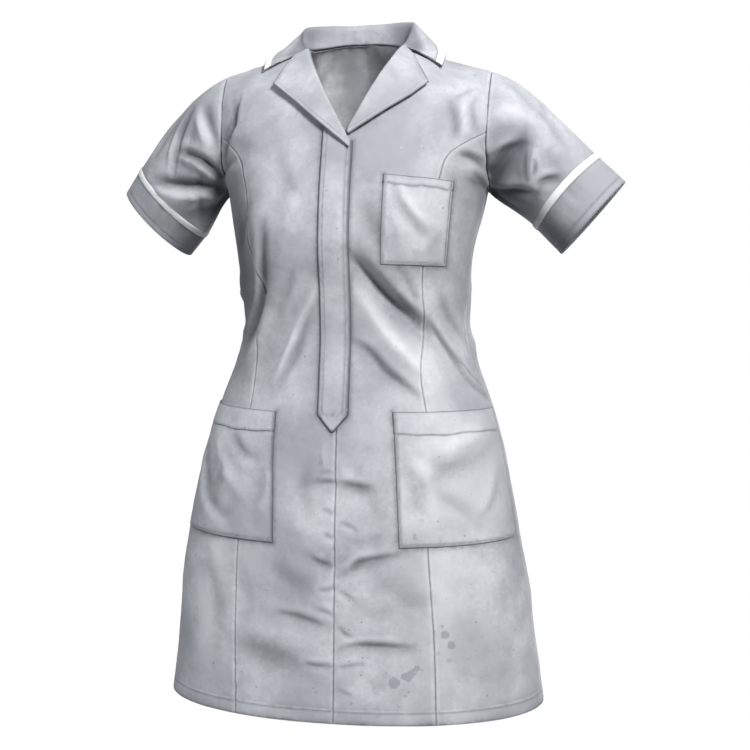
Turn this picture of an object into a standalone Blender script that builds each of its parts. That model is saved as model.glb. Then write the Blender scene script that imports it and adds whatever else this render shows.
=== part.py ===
"""Short-sleeved nurse's uniform dress, worn and hollow, modelled as separate cloth pieces.

Frame: metres, +Z up, the front faces -Y and the wearer's left is +X. The origin is in the
middle of the neck opening, level with the inner ends of the shoulder seams, where a wearer
holds the dress up.

Every piece is an open sheet of triangles with a Solidify modifier. Points on the trunk are
found from an angle round the body (0 at the centre front, 90 degrees at the wearer's left
side, 180 at the centre back) and a height. Points on a sleeve are found from an angle round
the arm and a share of the way down it.
"""
import math

import bpy
import numpy as np

# Cloth, in metres
CLOTH = 0.0012              # single cloth: panels, sleeves and pockets
DOUBLE_CLOTH = 0.0020       # two layers sewn together: collar, lapels, placket and cuffs
TAPE = 0.0010               # white tape on the collar and sleeves
TAPE_AIR = 0.0006           # air under the tape
HALF_SEAM = 0.00025         # each piece stops this far short of its seam line
LAY = 0.0010                # air between a panel and what is sewn flat on it

# Heights and widths of the trunk, in metres
HEM_HEIGHT = -0.909
ARMPIT_HEIGHT = -0.195
YOKE_HEIGHT = -0.117        # bottom of the neck opening, and top of the princess seams
NECK_SIDE, NECK_HEIGHT = 0.066, 0.004       # inner end of a shoulder seam
TIP_SIDE, TIP_HEIGHT = 0.189, -0.031        # outer end of a shoulder seam
SHOULDER_DEPTH = 0.010      # the shoulder seams lie this far behind the origin
BACK_NECK_HEIGHT = 0.016    # neck seam at the centre back
BACK_NECK_RISE = 0.018      # how much the back climbs towards the nape
FRONT_ROUND, BACK_ROUND = 0.115, 0.105      # height over which the shoulders round over
ARMHOLE_SIDE = 0.186        # the armhole seam lies near this distance from the middle
CLOSING_SIDE = 0.0045       # foot of the neck opening, just past the middle
CLOSING_EASE_HEIGHT, CLOSING_EASE = -0.200, 0.080   # where and over what it moves there

# Level sections of the trunk: half width, then front, side and back depths (y), and
# squareness (2 is an ellipse)
SECTIONS = [
    # height  half    front   side    back   squareness
    (-0.909, 0.2690, -0.168, -0.008, 0.150, 2.15),
    (-0.850, 0.2610, -0.165, -0.008, 0.148, 2.15),
    (-0.780, 0.2530, -0.162, -0.008, 0.146, 2.15),
    (-0.700, 0.2420, -0.158, -0.008, 0.143, 2.15),
    (-0.620, 0.2270, -0.153, -0.007, 0.138, 2.15),
    (-0.550, 0.2110, -0.147, -0.005, 0.128, 2.15),
    (-0.490, 0.1930, -0.139, -0.003, 0.112, 2.15),
    (-0.440, 0.1750, -0.130, -0.001, 0.094, 2.15),
    (-0.385, 0.1610, -0.121, 0.000, 0.080, 2.15),
    (-0.330, 0.1640, -0.126, 0.001, 0.084, 2.20),
    (-0.275, 0.1690, -0.137, 0.003, 0.094, 2.25),
    (-0.240, 0.1750, -0.135, 0.005, 0.099, 2.30),
    (-0.195, 0.1840, -0.126, 0.008, 0.103, 2.35),
    (-0.150, 0.1960, -0.112, 0.009, 0.104, 2.40),
    (-0.110, 0.2020, -0.100, 0.010, 0.102, 2.40),
    (-0.060, 0.2040, -0.086, 0.010, 0.094, 2.40),
    (0.000, 0.2040, -0.074, 0.010, 0.086, 2.40),
    (0.050, 0.2040, -0.070, 0.010, 0.082, 2.40),
]

# Seam lines on the trunk, by height
PRINCESS_SEAM = [
    # height  wearer's left  wearer's right (distance from the middle)
    (-0.909, 0.1370, 0.1415),
    (-0.800, 0.1330, 0.1435),
    (-0.670, 0.1230, 0.1405),
    (-0.485, 0.1165, 0.1270),
    (-0.435, 0.1065, 0.1225),
    (-0.390, 0.1110, 0.1200),
    (-0.330, 0.1085, 0.1150),
    (-0.270, 0.1140, 0.1330),
    (-0.180, 0.1310, 0.1390),
    (-0.145, 0.1450, 0.1520),
    (-0.117, 0.1860, 0.1860),
]
SIDE_SEAM = [
    # height  angle from the centre front, in degrees
    (-0.909, 87.0),
    (-0.670, 88.0),
    (-0.500, 89.0),
    (-0.450, 80.0),
    (-0.390, 79.0),
    (-0.300, 83.0),
    (-0.195, 90.0),
]

# The largest folds of the trunk: each runs from one angle and height to another, and is a
# trough (depth below nought) or a ridge. Angles are in degrees, the rest in metres.
TRUNK_FOLDS = [
    # angle, height  to  angle, height  width   depth
    (8, -0.290, 52, -0.392, 0.017, -0.0075),      # from the closing down to the left side
    (14, -0.262, 50, -0.352, 0.015, 0.0035),
    (8, -0.402, 46, -0.478, 0.018, -0.0050),
    (20, -0.385, 60, -0.455, 0.016, 0.0040),
    (-50, -0.270, -66, -0.392, 0.014, -0.0060),   # in front of the right side
    (-14, -0.320, -46, -0.455, 0.018, -0.0040),
    (-34, -0.300, -52, -0.400, 0.016, 0.0040),
    (-86, -0.318, -100, -0.342, 0.024, 0.0100),   # right side, pushed out over the waist
    (-84, -0.422, -98, -0.430, 0.020, -0.0050),
    (90, -0.240, 92, -0.330, 0.022, -0.0065),     # left side, drawn in
    (86, -0.404, 98, -0.408, 0.014, 0.0030),
    (-90, -0.560, -90, -0.800, 0.060, 0.0055),    # the skirt swings to the right
    (90, -0.560, 90, -0.760, 0.060, -0.0040),
    (-16, -0.590, 16, -0.602, 0.012, -0.0030),    # across the centre front seam
    (-18, -0.690, 22, -0.700, 0.014, -0.0035),
    (2, -0.800, 34, -0.806, 0.013, -0.0030),
    (150, -0.350, 178, -0.420, 0.020, -0.0060),   # small of the back
    (212, -0.340, 184, -0.405, 0.020, -0.0055),
    (126, -0.330, 152, -0.405, 0.018, 0.0040),
    (236, -0.345, 206, -0.430, 0.018, 0.0040),
    (120, -0.470, 128, -0.800, 0.040, 0.0045),    # the skirt's back
    (240, -0.480, 232, -0.780, 0.040, 0.0045),
]
FOLD_RADIUS = 0.17          # turns an angle between folds into a distance along the cloth

# Hip pockets and chest pocket
HIP_POCKETS = {
    # corners: angle from the centre front, height
    "left": [(30.0, -0.4905), (87.0, -0.4935), (84.5, -0.6700), (31.3, -0.6715)],
    "right": [(34.6, -0.4930), (87.5, -0.4915), (85.0, -0.6700), (31.4, -0.6705)],
}
CHEST_POCKET = [
    # distance from the middle, height
    (0.0589, -0.1753),
    (0.1489, -0.1839),
    (0.1385, -0.2993),
    (0.0565, -0.2948),
]
POCKET_MOUTH = 0.0015       # how far a pocket's open edge stands off

# Placket over the front closing
PLACKET_RIGHT, PLACKET_LEFT = -0.0265, 0.0160
PLACKET_POINT_HEIGHT = -0.520
PLACKET_SHOULDER_HEIGHT = -0.4955   # where the point starts
PLACKET_TOP_RIGHT, PLACKET_TOP_LEFT = -0.112, -0.136

# Lapels: distance from the middle and height, on the wearer's left
LAPEL_TIP = (0.1075, -0.0540)
LAPEL_NOTCH = (0.0835, -0.0130)
LAPEL_TOP = (0.0680, 0.0000)        # where the lapel meets the collar's fold
LAPEL_KINK = (0.0850, -0.0610)      # the lower edge bends a little here
LAPEL_FOOT = {
    # past the closing, above the foot of the neck opening: the right laps over the left
    "left": (0.0060, 0.0080),
    "right": (-0.0040, -0.0040),
}
LAPEL_FOOT_WIDTH = (0.0060, -0.0050)        # from the roll to the free edge at the foot
LAPEL_LIFT_LOW, LAPEL_LIFT_HIGH = 0.0058, 0.0060
LAPEL_EDGE_LIFT = 0.0020            # extra lift of the free edge
ROLL_WIDTH = 0.0030                 # the roll stands this far into the neck opening
ROLL_LIFT = 0.58                    # and is lifted by this share of the lapel's lift

# Collar, from the centre back to the front end on the wearer's left: where the neck seam,
# the fold and the outer edge pass
COLLAR = [
    # seam x   y       z        fold x   y       z        edge x   y       z
    (0.0000, 0.0590, 0.0170, 0.0000, 0.0620, 0.0450, 0.0000, 0.0790, -0.0020),
    (0.0240, 0.0530, 0.0165, 0.0280, 0.0600, 0.0452, 0.0360, 0.0750, -0.0030),
    (0.0450, 0.0420, 0.0125, 0.0530, 0.0510, 0.0455, 0.0700, 0.0650, -0.0050),
    (0.0600, 0.0270, 0.0085, 0.0715, 0.0360, 0.0440, 0.0970, 0.0480, -0.0060),
    (0.0660, 0.0110, 0.0060, 0.0790, 0.0190, 0.0385, 0.1140, 0.0260, -0.0040),
    (0.0665, 0.0030, 0.0055, 0.0775, 0.0060, 0.0245, 0.1205, 0.0030, -0.0050),
    (0.0662, -0.0040, 0.0045, 0.0725, -0.0030, 0.0130, 0.1240, -0.0160, -0.0140),
    (0.0655, -0.0100, 0.0030, 0.0675, -0.0110, 0.0060, 0.1243, -0.0340, -0.0270),
]
COLLAR_FOLD_RADIUS = 0.0030
COLLAR_FOLD_SHARE = 0.35    # the radius is never more than this share of the stand
COLLAR_BELLY = 0.0040       # the fall is rounded out by this much
COLLAR_FALL_SHARES = (0.33, 0.66, 1.0)
COLLAR_TRIM_WIDTH = 0.0120
TRIM_BACK = 0.0005          # the tape stops this far inside the collar's edge
COLLAR_TILT = 0.05          # the fold is higher on the left by this much for each metre across

# Sleeves: the ring where the white tape starts, the ring at the cuff's edge, the rings'
# half height, and how steeply they lean. The arms hang a little differently.
ARMS = {
    #        tape ring centre          cuff ring centre          half height     lean, degrees
    "left": ((0.2875, 0.0350, -0.1920), (0.3280, 0.0450, -0.2310), (0.0646, 0.0664), 49.0),
    "right": ((0.2775, 0.0310, -0.2035), (0.3100, 0.0520, -0.2365), (0.0668, 0.0654), 45.5),
}
RING_DEPTH = 0.0560         # half the rings' size from front to back
TAPE_WIDTH = 0.0110
SLEEVE_START = 0.0014       # the sleeve starts this far outside the armhole's edge
TOP_OF_SLEEVE_WAY = (0.93, 0.06, -0.36)     # the way the sleeve leaves the shoulder's tip
UNDERARM_WAY = (0.74, 0.10, -0.66)          # and the bottom of the armhole
SLEEVE_FULLNESS = 0.30      # how much it opens forwards and backwards as it leaves
SLEEVE_FOLDS = {
    # angle round the arm, share of the length  to  angle, share  width   depth
    "left": [
        (100, 0.02, 60, 0.55, 0.013, -0.0070),
        (60, 0.55, 88, 0.95, 0.012, -0.0050),
        (70, 0.20, 36, 0.62, 0.013, 0.0045),
        (250, 0.10, 285, 0.70, 0.014, -0.0055),
    ],
    "right": [
        (62, 0.25, 84, 0.75, 0.013, -0.0060),
        (110, 0.30, 150, 0.90, 0.012, -0.0050),
        (86, 0.10, 118, 0.60, 0.013, 0.0040),
        (245, 0.15, 290, 0.80, 0.014, -0.0055),
    ],
}
ARM_RADIUS = 0.062          # turns an angle between folds into a distance round the sleeve

# How finely each piece is divided
SKIRT_ROWS = 25
SHOULDER_ROWS = 8
BACK_YOKE_ROWS = 7
YOKE_SPREAD_RATE = 1.6      # how soon the back's columns spread evenly along the shoulders
ARMHOLE_REACH = 9           # power: only the side front's top rows follow the armhole
FRONT_COLUMNS = 5
SIDE_COLUMNS = 4
BACK_SHARES = (0.0, 0.115, 0.23, NECK_SIDE / TIP_SIDE, 0.48, 0.61, 0.74, 0.87, 1.0)
SLEEVE_COLUMNS, SLEEVE_ROWS = 20, 7
CUFF_ROWS = 2
PLACKET_COLUMNS = 2
CHEST_POCKET_ROWS, CHEST_POCKET_COLUMNS = 5, 5
HIP_POCKET_ROWS, HIP_POCKET_COLUMNS = 6, 9
LAPEL_ROWS, LAPEL_COLUMNS = 6, 4
COLLAR_COLUMNS = 24
ROW_MARGIN = 0.006          # rows nearer than this to a piece's end are left out

# Colours (linear RGB) and roughness
GREY_CLOTH = (0.43, 0.45, 0.50, 1.0)
INNER_GREY = (0.36, 0.38, 0.43, 1.0)
WHITE_TAPE = (0.85, 0.86, 0.88, 1.0)
CLOTH_ROUGHNESS = 0.85
TAPE_ROUGHNESS = 0.75


def along(start, end, share):
    """The value a share of the way from start to end."""
    return start + (end - start) * share


def ease(share):
    """0 to 1 with a soft start and a soft stop."""
    share = np.clip(share, 0.0, 1.0)
    return share * share * (3.0 - 2.0 * share)


def read_table(table, column, at):
    """One column of a table at any value of its first column, as a smooth curve."""
    stations = np.array([row[0] for row in table])
    values = np.array([row[column] for row in table])
    slopes = np.gradient(values, stations)
    first = np.clip(np.searchsorted(stations, at) - 1, 0, len(stations) - 2)
    step = stations[first + 1] - stations[first]
    t = np.clip((at - stations[first]) / step, 0.0, 1.0)
    return ((2 * t**3 - 3 * t**2 + 1) * values[first] + (t**3 - 2 * t**2 + t) * step * slopes[first]
            + (3 * t**2 - 2 * t**3) * values[first + 1] + (t**3 - t**2) * step * slopes[first + 1])


def shoulder_line(side, back):
    """Height of the shoulders' top at a distance from the middle, with the nape's rise."""
    share = (np.abs(side) - NECK_SIDE) / (TIP_SIDE - NECK_SIDE)
    height = along(NECK_HEIGHT, TIP_HEIGHT, share)
    nape = BACK_NECK_RISE * np.clip(1.0 - (side / NECK_SIDE) ** 2, 0.0, None)
    return height + np.where(back, nape, 0.0)


def plain_trunk(angle, height):
    """Points of the trunk without folds, from angles in radians and heights."""
    half, front, side, back, power = (read_table(SECTIONS, c, height) for c in range(1, 6))
    behind = np.cos(angle) < 0
    depth = np.where(behind, back - side, side - front)
    across, forward = np.abs(np.sin(angle)), np.abs(np.cos(angle))
    radius = ((across / half) ** power + (forward / depth) ** power) ** (-1.0 / power)
    x = radius * np.sin(angle)
    y = side - radius * np.cos(angle)
    drop = (shoulder_line(x, behind) - height) / np.where(behind, BACK_ROUND, FRONT_ROUND)
    drop = np.clip(drop, 0.0, 1.0)
    y = SHOULDER_DEPTH + (y - SHOULDER_DEPTH) * np.sqrt(1.0 - (1.0 - drop) ** 2)
    return np.stack([x, y, height + 0.0 * x], axis=-1)


def unit(vectors):
    """Vectors of length one."""
    vectors = np.asarray(vectors, float)
    return vectors / np.linalg.norm(vectors, axis=-1, keepdims=True)


def fold_lift(rows, angle, height, radius):
    """Sum of the folds at points given by an angle and a height (or share)."""
    total = np.zeros(np.broadcast(angle, height).shape)
    for start_angle, start_height, end_angle, end_height, width, depth in rows:
        middle = 0.5 * (start_angle + end_angle)
        turn = (np.degrees(angle) - middle + 180.0) % 360.0 - 180.0
        across = np.radians(turn) * radius
        first = np.array([math.radians(start_angle - middle) * radius, start_height])
        run = np.array([math.radians(end_angle - middle) * radius, end_height]) - first
        length = np.linalg.norm(run)
        share = ((across - first[0]) * run[0] + (height - first[1]) * run[1]) / length**2
        near = np.clip(share, 0.0, 1.0)
        gap = np.hypot(across - first[0] - near * run[0], height - first[1] - near * run[1])
        taper = 0.35 + 0.65 * np.sin(np.pi * near)
        total += depth * taper * np.exp(-(gap / width) ** 2)
    return total


def trunk(angle, height, lift=0.0):
    """Points of the trunk with its folds, moved outwards by lift."""
    angle, height = np.broadcast_arrays(np.asarray(angle, float), np.asarray(height, float))
    step = 0.001
    round_body = plain_trunk(angle + step, height) - plain_trunk(angle - step, height)
    up_body = plain_trunk(angle, height + step) - plain_trunk(angle, height - step)
    outward = unit(np.cross(round_body, up_body))
    folds = fold_lift(TRUNK_FOLDS, angle, height, FOLD_RADIUS)
    return plain_trunk(angle, height) + outward * (folds + lift)[..., None]


def angle_at(side, height, back=False):
    """Angle of the trunk's point at a distance from the middle and a height."""
    side, height = np.broadcast_arrays(np.asarray(side, float), np.asarray(height, float))
    half, front, level, rear, power = (read_table(SECTIONS, c, height) for c in range(1, 6))
    depth = rear - level if back else level - front
    share = np.clip(np.abs(side) / half, 0.0, 1.0)
    angle = np.arctan2(half * share, depth * (1.0 - share**power) ** (1.0 / power))
    if back:
        return np.pi - np.copysign(angle, side)
    return np.copysign(angle, side)


def armhole(turn):
    """Angle and height of the armhole seam; turn is 0 at the shoulder, pi under the arm."""
    turn = np.asarray(turn, float)
    middle, reach = 0.5 * (TIP_HEIGHT + ARMPIT_HEIGHT), 0.5 * (TIP_HEIGHT - ARMPIT_HEIGHT)
    height = middle + reach * np.cos(turn)
    half = read_table(SECTIONS, 1, height)
    side = along(ARMHOLE_SIDE, TIP_SIDE, ease((height - YOKE_HEIGHT) / (TIP_HEIGHT - YOKE_HEIGHT)))
    side = np.minimum(side, half)
    behind = np.sin(turn) < 0
    return np.where(behind, angle_at(side, height, back=True), angle_at(side, height)), height


def princess_angle(height, side):
    """Angle of a princess seam; side is 1 on the wearer's left and -1 on the right."""
    reach = read_table(PRINCESS_SEAM, 1 if side > 0 else 2, height)
    return angle_at(side * reach, height)


def side_angle(height):
    """Angle of the side seam on the wearer's left."""
    return np.radians(read_table(SIDE_SEAM, 1, height))


def closing_side(height):
    """Where the two fronts meet: the middle, easing over at the foot of the neck opening."""
    return CLOSING_SIDE * ease((height - CLOSING_EASE_HEIGHT) / CLOSING_EASE)


def rise(share):
    """Share of the height covered, with rows closer together near the shoulder."""
    return 1.0 - (1.0 - share) ** 2


def front_levels():
    """Heights of the centre fronts' rows, from the hem to the foot of the neck opening."""
    return np.linspace(HEM_HEIGHT, YOKE_HEIGHT, SKIRT_ROWS + 1)


def centre_front(side):
    """Centre front panel: hem to shoulder, from the closing to the princess seam."""
    columns = np.linspace(0.0, 1.0, FRONT_COLUMNS + 1)
    skirt = front_levels()[:, None]
    inner = angle_at(closing_side(skirt), skirt)
    lower = trunk(along(inner, princess_angle(skirt, side), columns), skirt)

    share = np.linspace(0.0, 1.0, SHOULDER_ROWS + 1)[1:, None]
    inner_side = along(CLOSING_SIDE, side * NECK_SIDE, rise(share))
    inner_height = along(YOKE_HEIGHT, NECK_HEIGHT, rise(share))
    outer_height = along(YOKE_HEIGHT, TIP_HEIGHT, rise(share))
    outer_side = side * along(ARMHOLE_SIDE, TIP_SIDE, rise(share))
    across = along(inner_side, outer_side, columns)
    height = along(inner_height, outer_height, columns)
    even = along(angle_at(inner_side, inner_height), angle_at(outer_side, outer_height), columns)
    upper = trunk(along(even, angle_at(across, height), ease(share)), height)
    return np.concatenate([lower, upper])


def side_front(side):
    """Side front panel: from the princess seam to the side seam, up to the armhole."""
    share = np.linspace(0.0, 1.0, SKIRT_ROWS + 1)[:, None]
    columns = np.linspace(0.0, 1.0, SIDE_COLUMNS + 1)
    inner_height = along(HEM_HEIGHT, YOKE_HEIGHT, share)
    outer_height = along(HEM_HEIGHT, ARMPIT_HEIGHT, share)
    height = along(inner_height, outer_height, columns)
    inner = np.abs(princess_angle(inner_height, side))
    angle = along(inner, side_angle(outer_height), columns)
    top_turn = math.acos((YOKE_HEIGHT - 0.5 * (TIP_HEIGHT + ARMPIT_HEIGHT))
                         / (0.5 * (TIP_HEIGHT - ARMPIT_HEIGHT)))
    top_angle, top_height = armhole(along(top_turn, math.pi, columns))
    near_top = share**ARMHOLE_REACH
    angle = angle + near_top * (top_angle - along(top_angle[0], top_angle[-1], columns))
    height = height + near_top * (top_height - along(top_height[0], top_height[-1], columns))
    return trunk(side * angle, height)


def back_panel():
    """Back in one piece: from side seam to side seam, up to the shoulders and neck."""
    columns = np.array([-s for s in BACK_SHARES[:0:-1]] + list(BACK_SHARES))
    level = np.linspace(HEM_HEIGHT, ARMPIT_HEIGHT, SKIRT_ROWS + 1)[:, None]
    reach = math.pi - side_angle(level)
    lower = trunk(math.pi - columns * reach, level)

    share = np.linspace(0.0, 1.0, BACK_YOKE_ROWS + 1)[1:, None]
    edge_height = along(ARMPIT_HEIGHT, TIP_HEIGHT, rise(share))
    yoke = ease((edge_height - YOKE_HEIGHT) / (TIP_HEIGHT - YOKE_HEIGHT))
    edge = np.minimum(along(ARMHOLE_SIDE, TIP_SIDE, yoke), read_table(SECTIONS, 1, edge_height))
    across = columns * edge
    top_side = columns * TIP_SIDE
    neckline = along(NECK_HEIGHT, BACK_NECK_HEIGHT, 1.0 - (top_side / NECK_SIDE) ** 2)
    top = np.where(np.abs(top_side) < NECK_SIDE - 1e-6, neckline, shoulder_line(top_side, False))
    height = along(ARMPIT_HEIGHT, top, rise(share))
    even = math.pi - columns * (math.pi - angle_at(edge, edge_height, back=True))
    angle = along(even, angle_at(across, height, back=True), ease(share * YOKE_SPREAD_RATE))
    upper = trunk(angle, height)
    return np.concatenate([lower, upper])


def four_corners(corners, rows, columns):
    """A grid between four corners given in order round the outline."""
    corners = np.array(corners)
    down = np.linspace(0.0, 1.0, rows + 1)[:, None, None]
    over = np.linspace(0.0, 1.0, columns + 1)[None, :, None]
    top = along(corners[0], corners[1], over)
    bottom = along(corners[3], corners[2], over)
    return along(top, bottom, down)


def pocket_lift(rows, columns):
    """Lift of a patch pocket: flat where it is sewn down, standing off at its mouth."""
    down = np.linspace(0.0, 1.0, rows + 1)[:, None]
    over = np.linspace(0.0, 1.0, columns + 1)[None, :]
    return CLOTH + LAY + POCKET_MOUTH * (1.0 - down) * np.sin(np.pi * over)


def hip_pocket(side, label):
    """Square patch pocket on the skirt, from near the middle to the side seam."""
    grid = four_corners(HIP_POCKETS[label], HIP_POCKET_ROWS, HIP_POCKET_COLUMNS)
    lift = pocket_lift(HIP_POCKET_ROWS, HIP_POCKET_COLUMNS)
    return trunk(side * np.radians(grid[..., 0]), grid[..., 1], lift)


def chest_pocket():
    """Small patch pocket on the wearer's left breast."""
    grid = four_corners(CHEST_POCKET, CHEST_POCKET_ROWS, CHEST_POCKET_COLUMNS)
    lift = pocket_lift(CHEST_POCKET_ROWS, CHEST_POCKET_COLUMNS)
    return trunk(angle_at(grid[..., 0], grid[..., 1]), grid[..., 1], lift)


def placket():
    """Strip over the closing, with a pointed foot."""
    columns = np.linspace(0.0, 1.0, PLACKET_COLUMNS + 1)
    side = along(PLACKET_RIGHT, PLACKET_LEFT, columns)
    foot = along(PLACKET_SHOULDER_HEIGHT, PLACKET_POINT_HEIGHT, 1.0 - np.abs(2.0 * columns - 1.0))
    top = along(PLACKET_TOP_RIGHT, PLACKET_TOP_LEFT, columns)
    levels = front_levels()
    shared = levels[(levels > PLACKET_SHOULDER_HEIGHT + ROW_MARGIN)
                    & (levels < PLACKET_TOP_LEFT - ROW_MARGIN)]
    height = np.vstack([foot, shared[:, None] + 0.0 * columns, top])
    lift = 0.5 * (CLOTH + DOUBLE_CLOTH) + LAY
    return trunk(angle_at(side + 0.0 * height, height), height, lift)


def lapel(side, label):
    """Turned-back top of a front: from the roll line to the free lower edge."""
    rows = np.linspace(0.0, 1.0, LAPEL_ROWS + 1)[:, None]
    foot = np.array([CLOSING_SIDE * side, YOKE_HEIGHT]) + np.array(LAPEL_FOOT[label])
    top = np.array(LAPEL_TOP)
    inner = along(foot, top, rows)
    foot_outer = foot + np.array(LAPEL_FOOT_WIDTH)
    lower_edge = bend(foot_outer, np.array(LAPEL_KINK), np.array(LAPEL_TIP), rows)
    columns = np.linspace(0.0, 1.0, LAPEL_COLUMNS + 1)[None, :, None]
    flat = along(inner[:, None, :], lower_edge[:, None, :], columns)
    top_edge = bend(top, np.array(LAPEL_NOTCH), np.array(LAPEL_TIP), columns[0])
    flat = flat + (rows**3)[:, :, None] * (top_edge - flat[-1])[None]
    lift = along(LAPEL_LIFT_LOW, LAPEL_LIFT_HIGH, rows) + LAPEL_EDGE_LIFT * columns[..., 0] ** 2
    sheet = trunk(angle_at(side * flat[..., 0], flat[..., 1]), flat[..., 1], lift)
    roll_side = side * (inner[:, 0] - ROLL_WIDTH)
    roll = trunk(angle_at(roll_side, inner[:, 1]), inner[:, 1], ROLL_LIFT * lift[:, 0])
    return np.concatenate([roll[:, None, :], sheet], axis=1)


def bend(start, middle, end, share):
    """A line from start to end through a middle point, split there at its true share."""
    first, second = np.linalg.norm(middle - start), np.linalg.norm(end - middle)
    turn = first / (first + second)
    lower = along(start, middle, np.clip(share / turn, 0.0, 1.0))
    upper = along(middle, end, np.clip((share - turn) / (1.0 - turn), 0.0, 1.0))
    return np.where(share < turn, lower, upper)


def collar_lines():
    """Neck seam, fold and outer edge of the collar, from its right front end to its left."""
    stations = [(index,) + row for index, row in enumerate(COLLAR)]
    at = np.linspace(-(len(COLLAR) - 1), len(COLLAR) - 1, COLLAR_COLUMNS + 1)
    lines = []
    for first in (1, 4, 7):
        x, y, z = (read_table(stations, first + axis, np.abs(at)) for axis in range(3))
        lines.append(np.stack([np.copysign(x, at), y, z], axis=-1))
    lines[1][:, 2] += COLLAR_TILT * lines[1][:, 0]
    return lines


def collar_sections():
    """Collar sheet: up the stand, over the fold and down the fall."""
    seam, fold, edge = collar_lines()
    outward = fold * np.array([1.0, 1.0, 0.0]) + np.array([0.0, 0.01, 0.0])
    outward = unit(outward)
    up = np.array([0.0, 0.0, 1.0])
    stand = np.linalg.norm(fold - seam, axis=-1, keepdims=True)
    radius = np.minimum(COLLAR_FOLD_RADIUS, COLLAR_FOLD_SHARE * stand)
    inside = fold - outward * radius - up * radius
    outside = fold + outward * radius - up * radius
    sections = [seam, along(seam, inside, 0.5), inside, fold, outside]
    for share in COLLAR_FALL_SHARES:
        belly = COLLAR_BELLY * math.sin(math.pi * share) * outward
        sections.append(along(outside, edge, share) + belly)
    return np.stack(sections)


def collar_trim(collar_grid):
    """White tape laid on the collar's fall along its outer edge."""
    near, edge = collar_grid[-2], collar_grid[-1]
    width = np.linalg.norm(edge - near, axis=-1, keepdims=True)
    down = (edge - near) / width
    round_neck = np.gradient(edge, axis=0)
    outward = unit(np.cross(down, round_neck))
    lift = 0.5 * (DOUBLE_CLOTH + TAPE) + TAPE_AIR
    outer = edge + outward * lift
    return np.stack([outer - down * COLLAR_TRIM_WIDTH, outer - down * TRIM_BACK])


def sleeve_ring(label, turn, past, lift=0.0):
    """Ring of the tape and cuff, past metres beyond the start of the tape, as on the left."""
    tape, edge, heights, lean = ARMS[label]
    tape, edge, lean = np.array(tape), np.array(edge), math.radians(lean)
    up = np.array([math.cos(lean), 0.0, math.sin(lean)])
    forward = np.array([0.0, -1.0, 0.0])
    share = past / np.linalg.norm(edge - tape)
    tall = along(heights[0], heights[1], share) + lift
    turn = np.asarray(turn)[..., None]
    return (along(tape, edge, share) + up * tall * np.cos(turn)
            + forward * (RING_DEPTH + lift) * np.sin(turn))


def sleeve_sheet(label, turn, share):
    """Sleeve from the armhole (share 0) to the tape (share 1), as on the left."""
    angle, height = armhole(turn)
    start = trunk(angle, height) + np.array([SLEEVE_START, 0.0, 0.0])
    end = sleeve_ring(label, turn, 0.0)
    under = 0.5 * (1.0 - np.cos(turn))[..., None]
    leave = along(np.array(TOP_OF_SLEEVE_WAY), np.array(UNDERARM_WAY), under)
    leave = leave - np.array([0.0, SLEEVE_FULLNESS, 0.0]) * np.sin(turn)[..., None]
    reach = np.linalg.norm(end - start, axis=-1, keepdims=True)
    tape, edge = np.array(ARMS[label][0]), np.array(ARMS[label][1])
    leave = unit(leave) * reach
    arrive = unit(edge - tape) * reach
    t = share[..., None]
    sheet = ((2 * t**3 - 3 * t**2 + 1) * start + (t**3 - 2 * t**2 + t) * leave
             + (3 * t**2 - 2 * t**3) * end + (t**3 - t**2) * arrive)
    centre = along(start.mean(axis=-2, keepdims=True), tape, t)
    length = reach.mean()
    rows = [(a, b * length, c, d * length, width, depth)
            for a, b, c, d, width, depth in SLEEVE_FOLDS[label]]
    folds = fold_lift(rows, turn, share * length, ARM_RADIUS) * ease(share / 0.1)
    return sheet + unit(sheet - centre) * folds[..., None]


def mirrored(side, sheet):
    """A sheet made for the wearer's left, put on the given side."""
    return sheet * np.array([side, 1.0, 1.0])


def ring_turns():
    """Angles round the arm of a sleeve's columns."""
    return np.linspace(0.0, 2.0 * math.pi, SLEEVE_COLUMNS, endpoint=False)


def sleeve_band(side, label, steps, lift):
    """Rings at the given distances beyond the start of the tape, moved outwards by lift."""
    rings = [sleeve_ring(label, ring_turns(), past, lift) for past in steps]
    return mirrored(side, np.stack(rings))


def sleeve(side, label):
    """Sleeve from the armhole to the middle of the tape."""
    share, turn = np.meshgrid(np.linspace(0.0, 1.0, SLEEVE_ROWS + 1), ring_turns(), indexing="ij")
    sheet = mirrored(side, sleeve_sheet(label, turn, share))
    return np.concatenate([sheet, sleeve_band(side, label, [0.5 * TAPE_WIDTH], 0.0)])


def cuff(side, label):
    """Deep double cuff, from the middle of the tape to the sleeve's edge."""
    tape, edge = np.array(ARMS[label][0]), np.array(ARMS[label][1])
    steps = np.linspace(0.5 * TAPE_WIDTH, np.linalg.norm(edge - tape), CUFF_ROWS + 1)
    return sleeve_band(side, label, steps, 0.0)


def sleeve_tape(side, label):
    """White tape over the seam between sleeve and cuff."""
    lift = 0.5 * (DOUBLE_CLOTH + TAPE) + TAPE_AIR
    return sleeve_band(side, label, [0.0, TAPE_WIDTH], lift)


def trimmed(grid, closed):
    """The same grid with its seam edges drawn in by the seam gap."""
    grid = grid.copy()
    grid[0] += unit(grid[1] - grid[0]) * HALF_SEAM
    grid[-1] += unit(grid[-2] - grid[-1]) * HALF_SEAM
    if not closed:
        grid[:, 0] += unit(grid[:, 1] - grid[:, 0]) * HALF_SEAM
        grid[:, -1] += unit(grid[:, -2] - grid[:, -1]) * HALF_SEAM
    return grid


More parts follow.
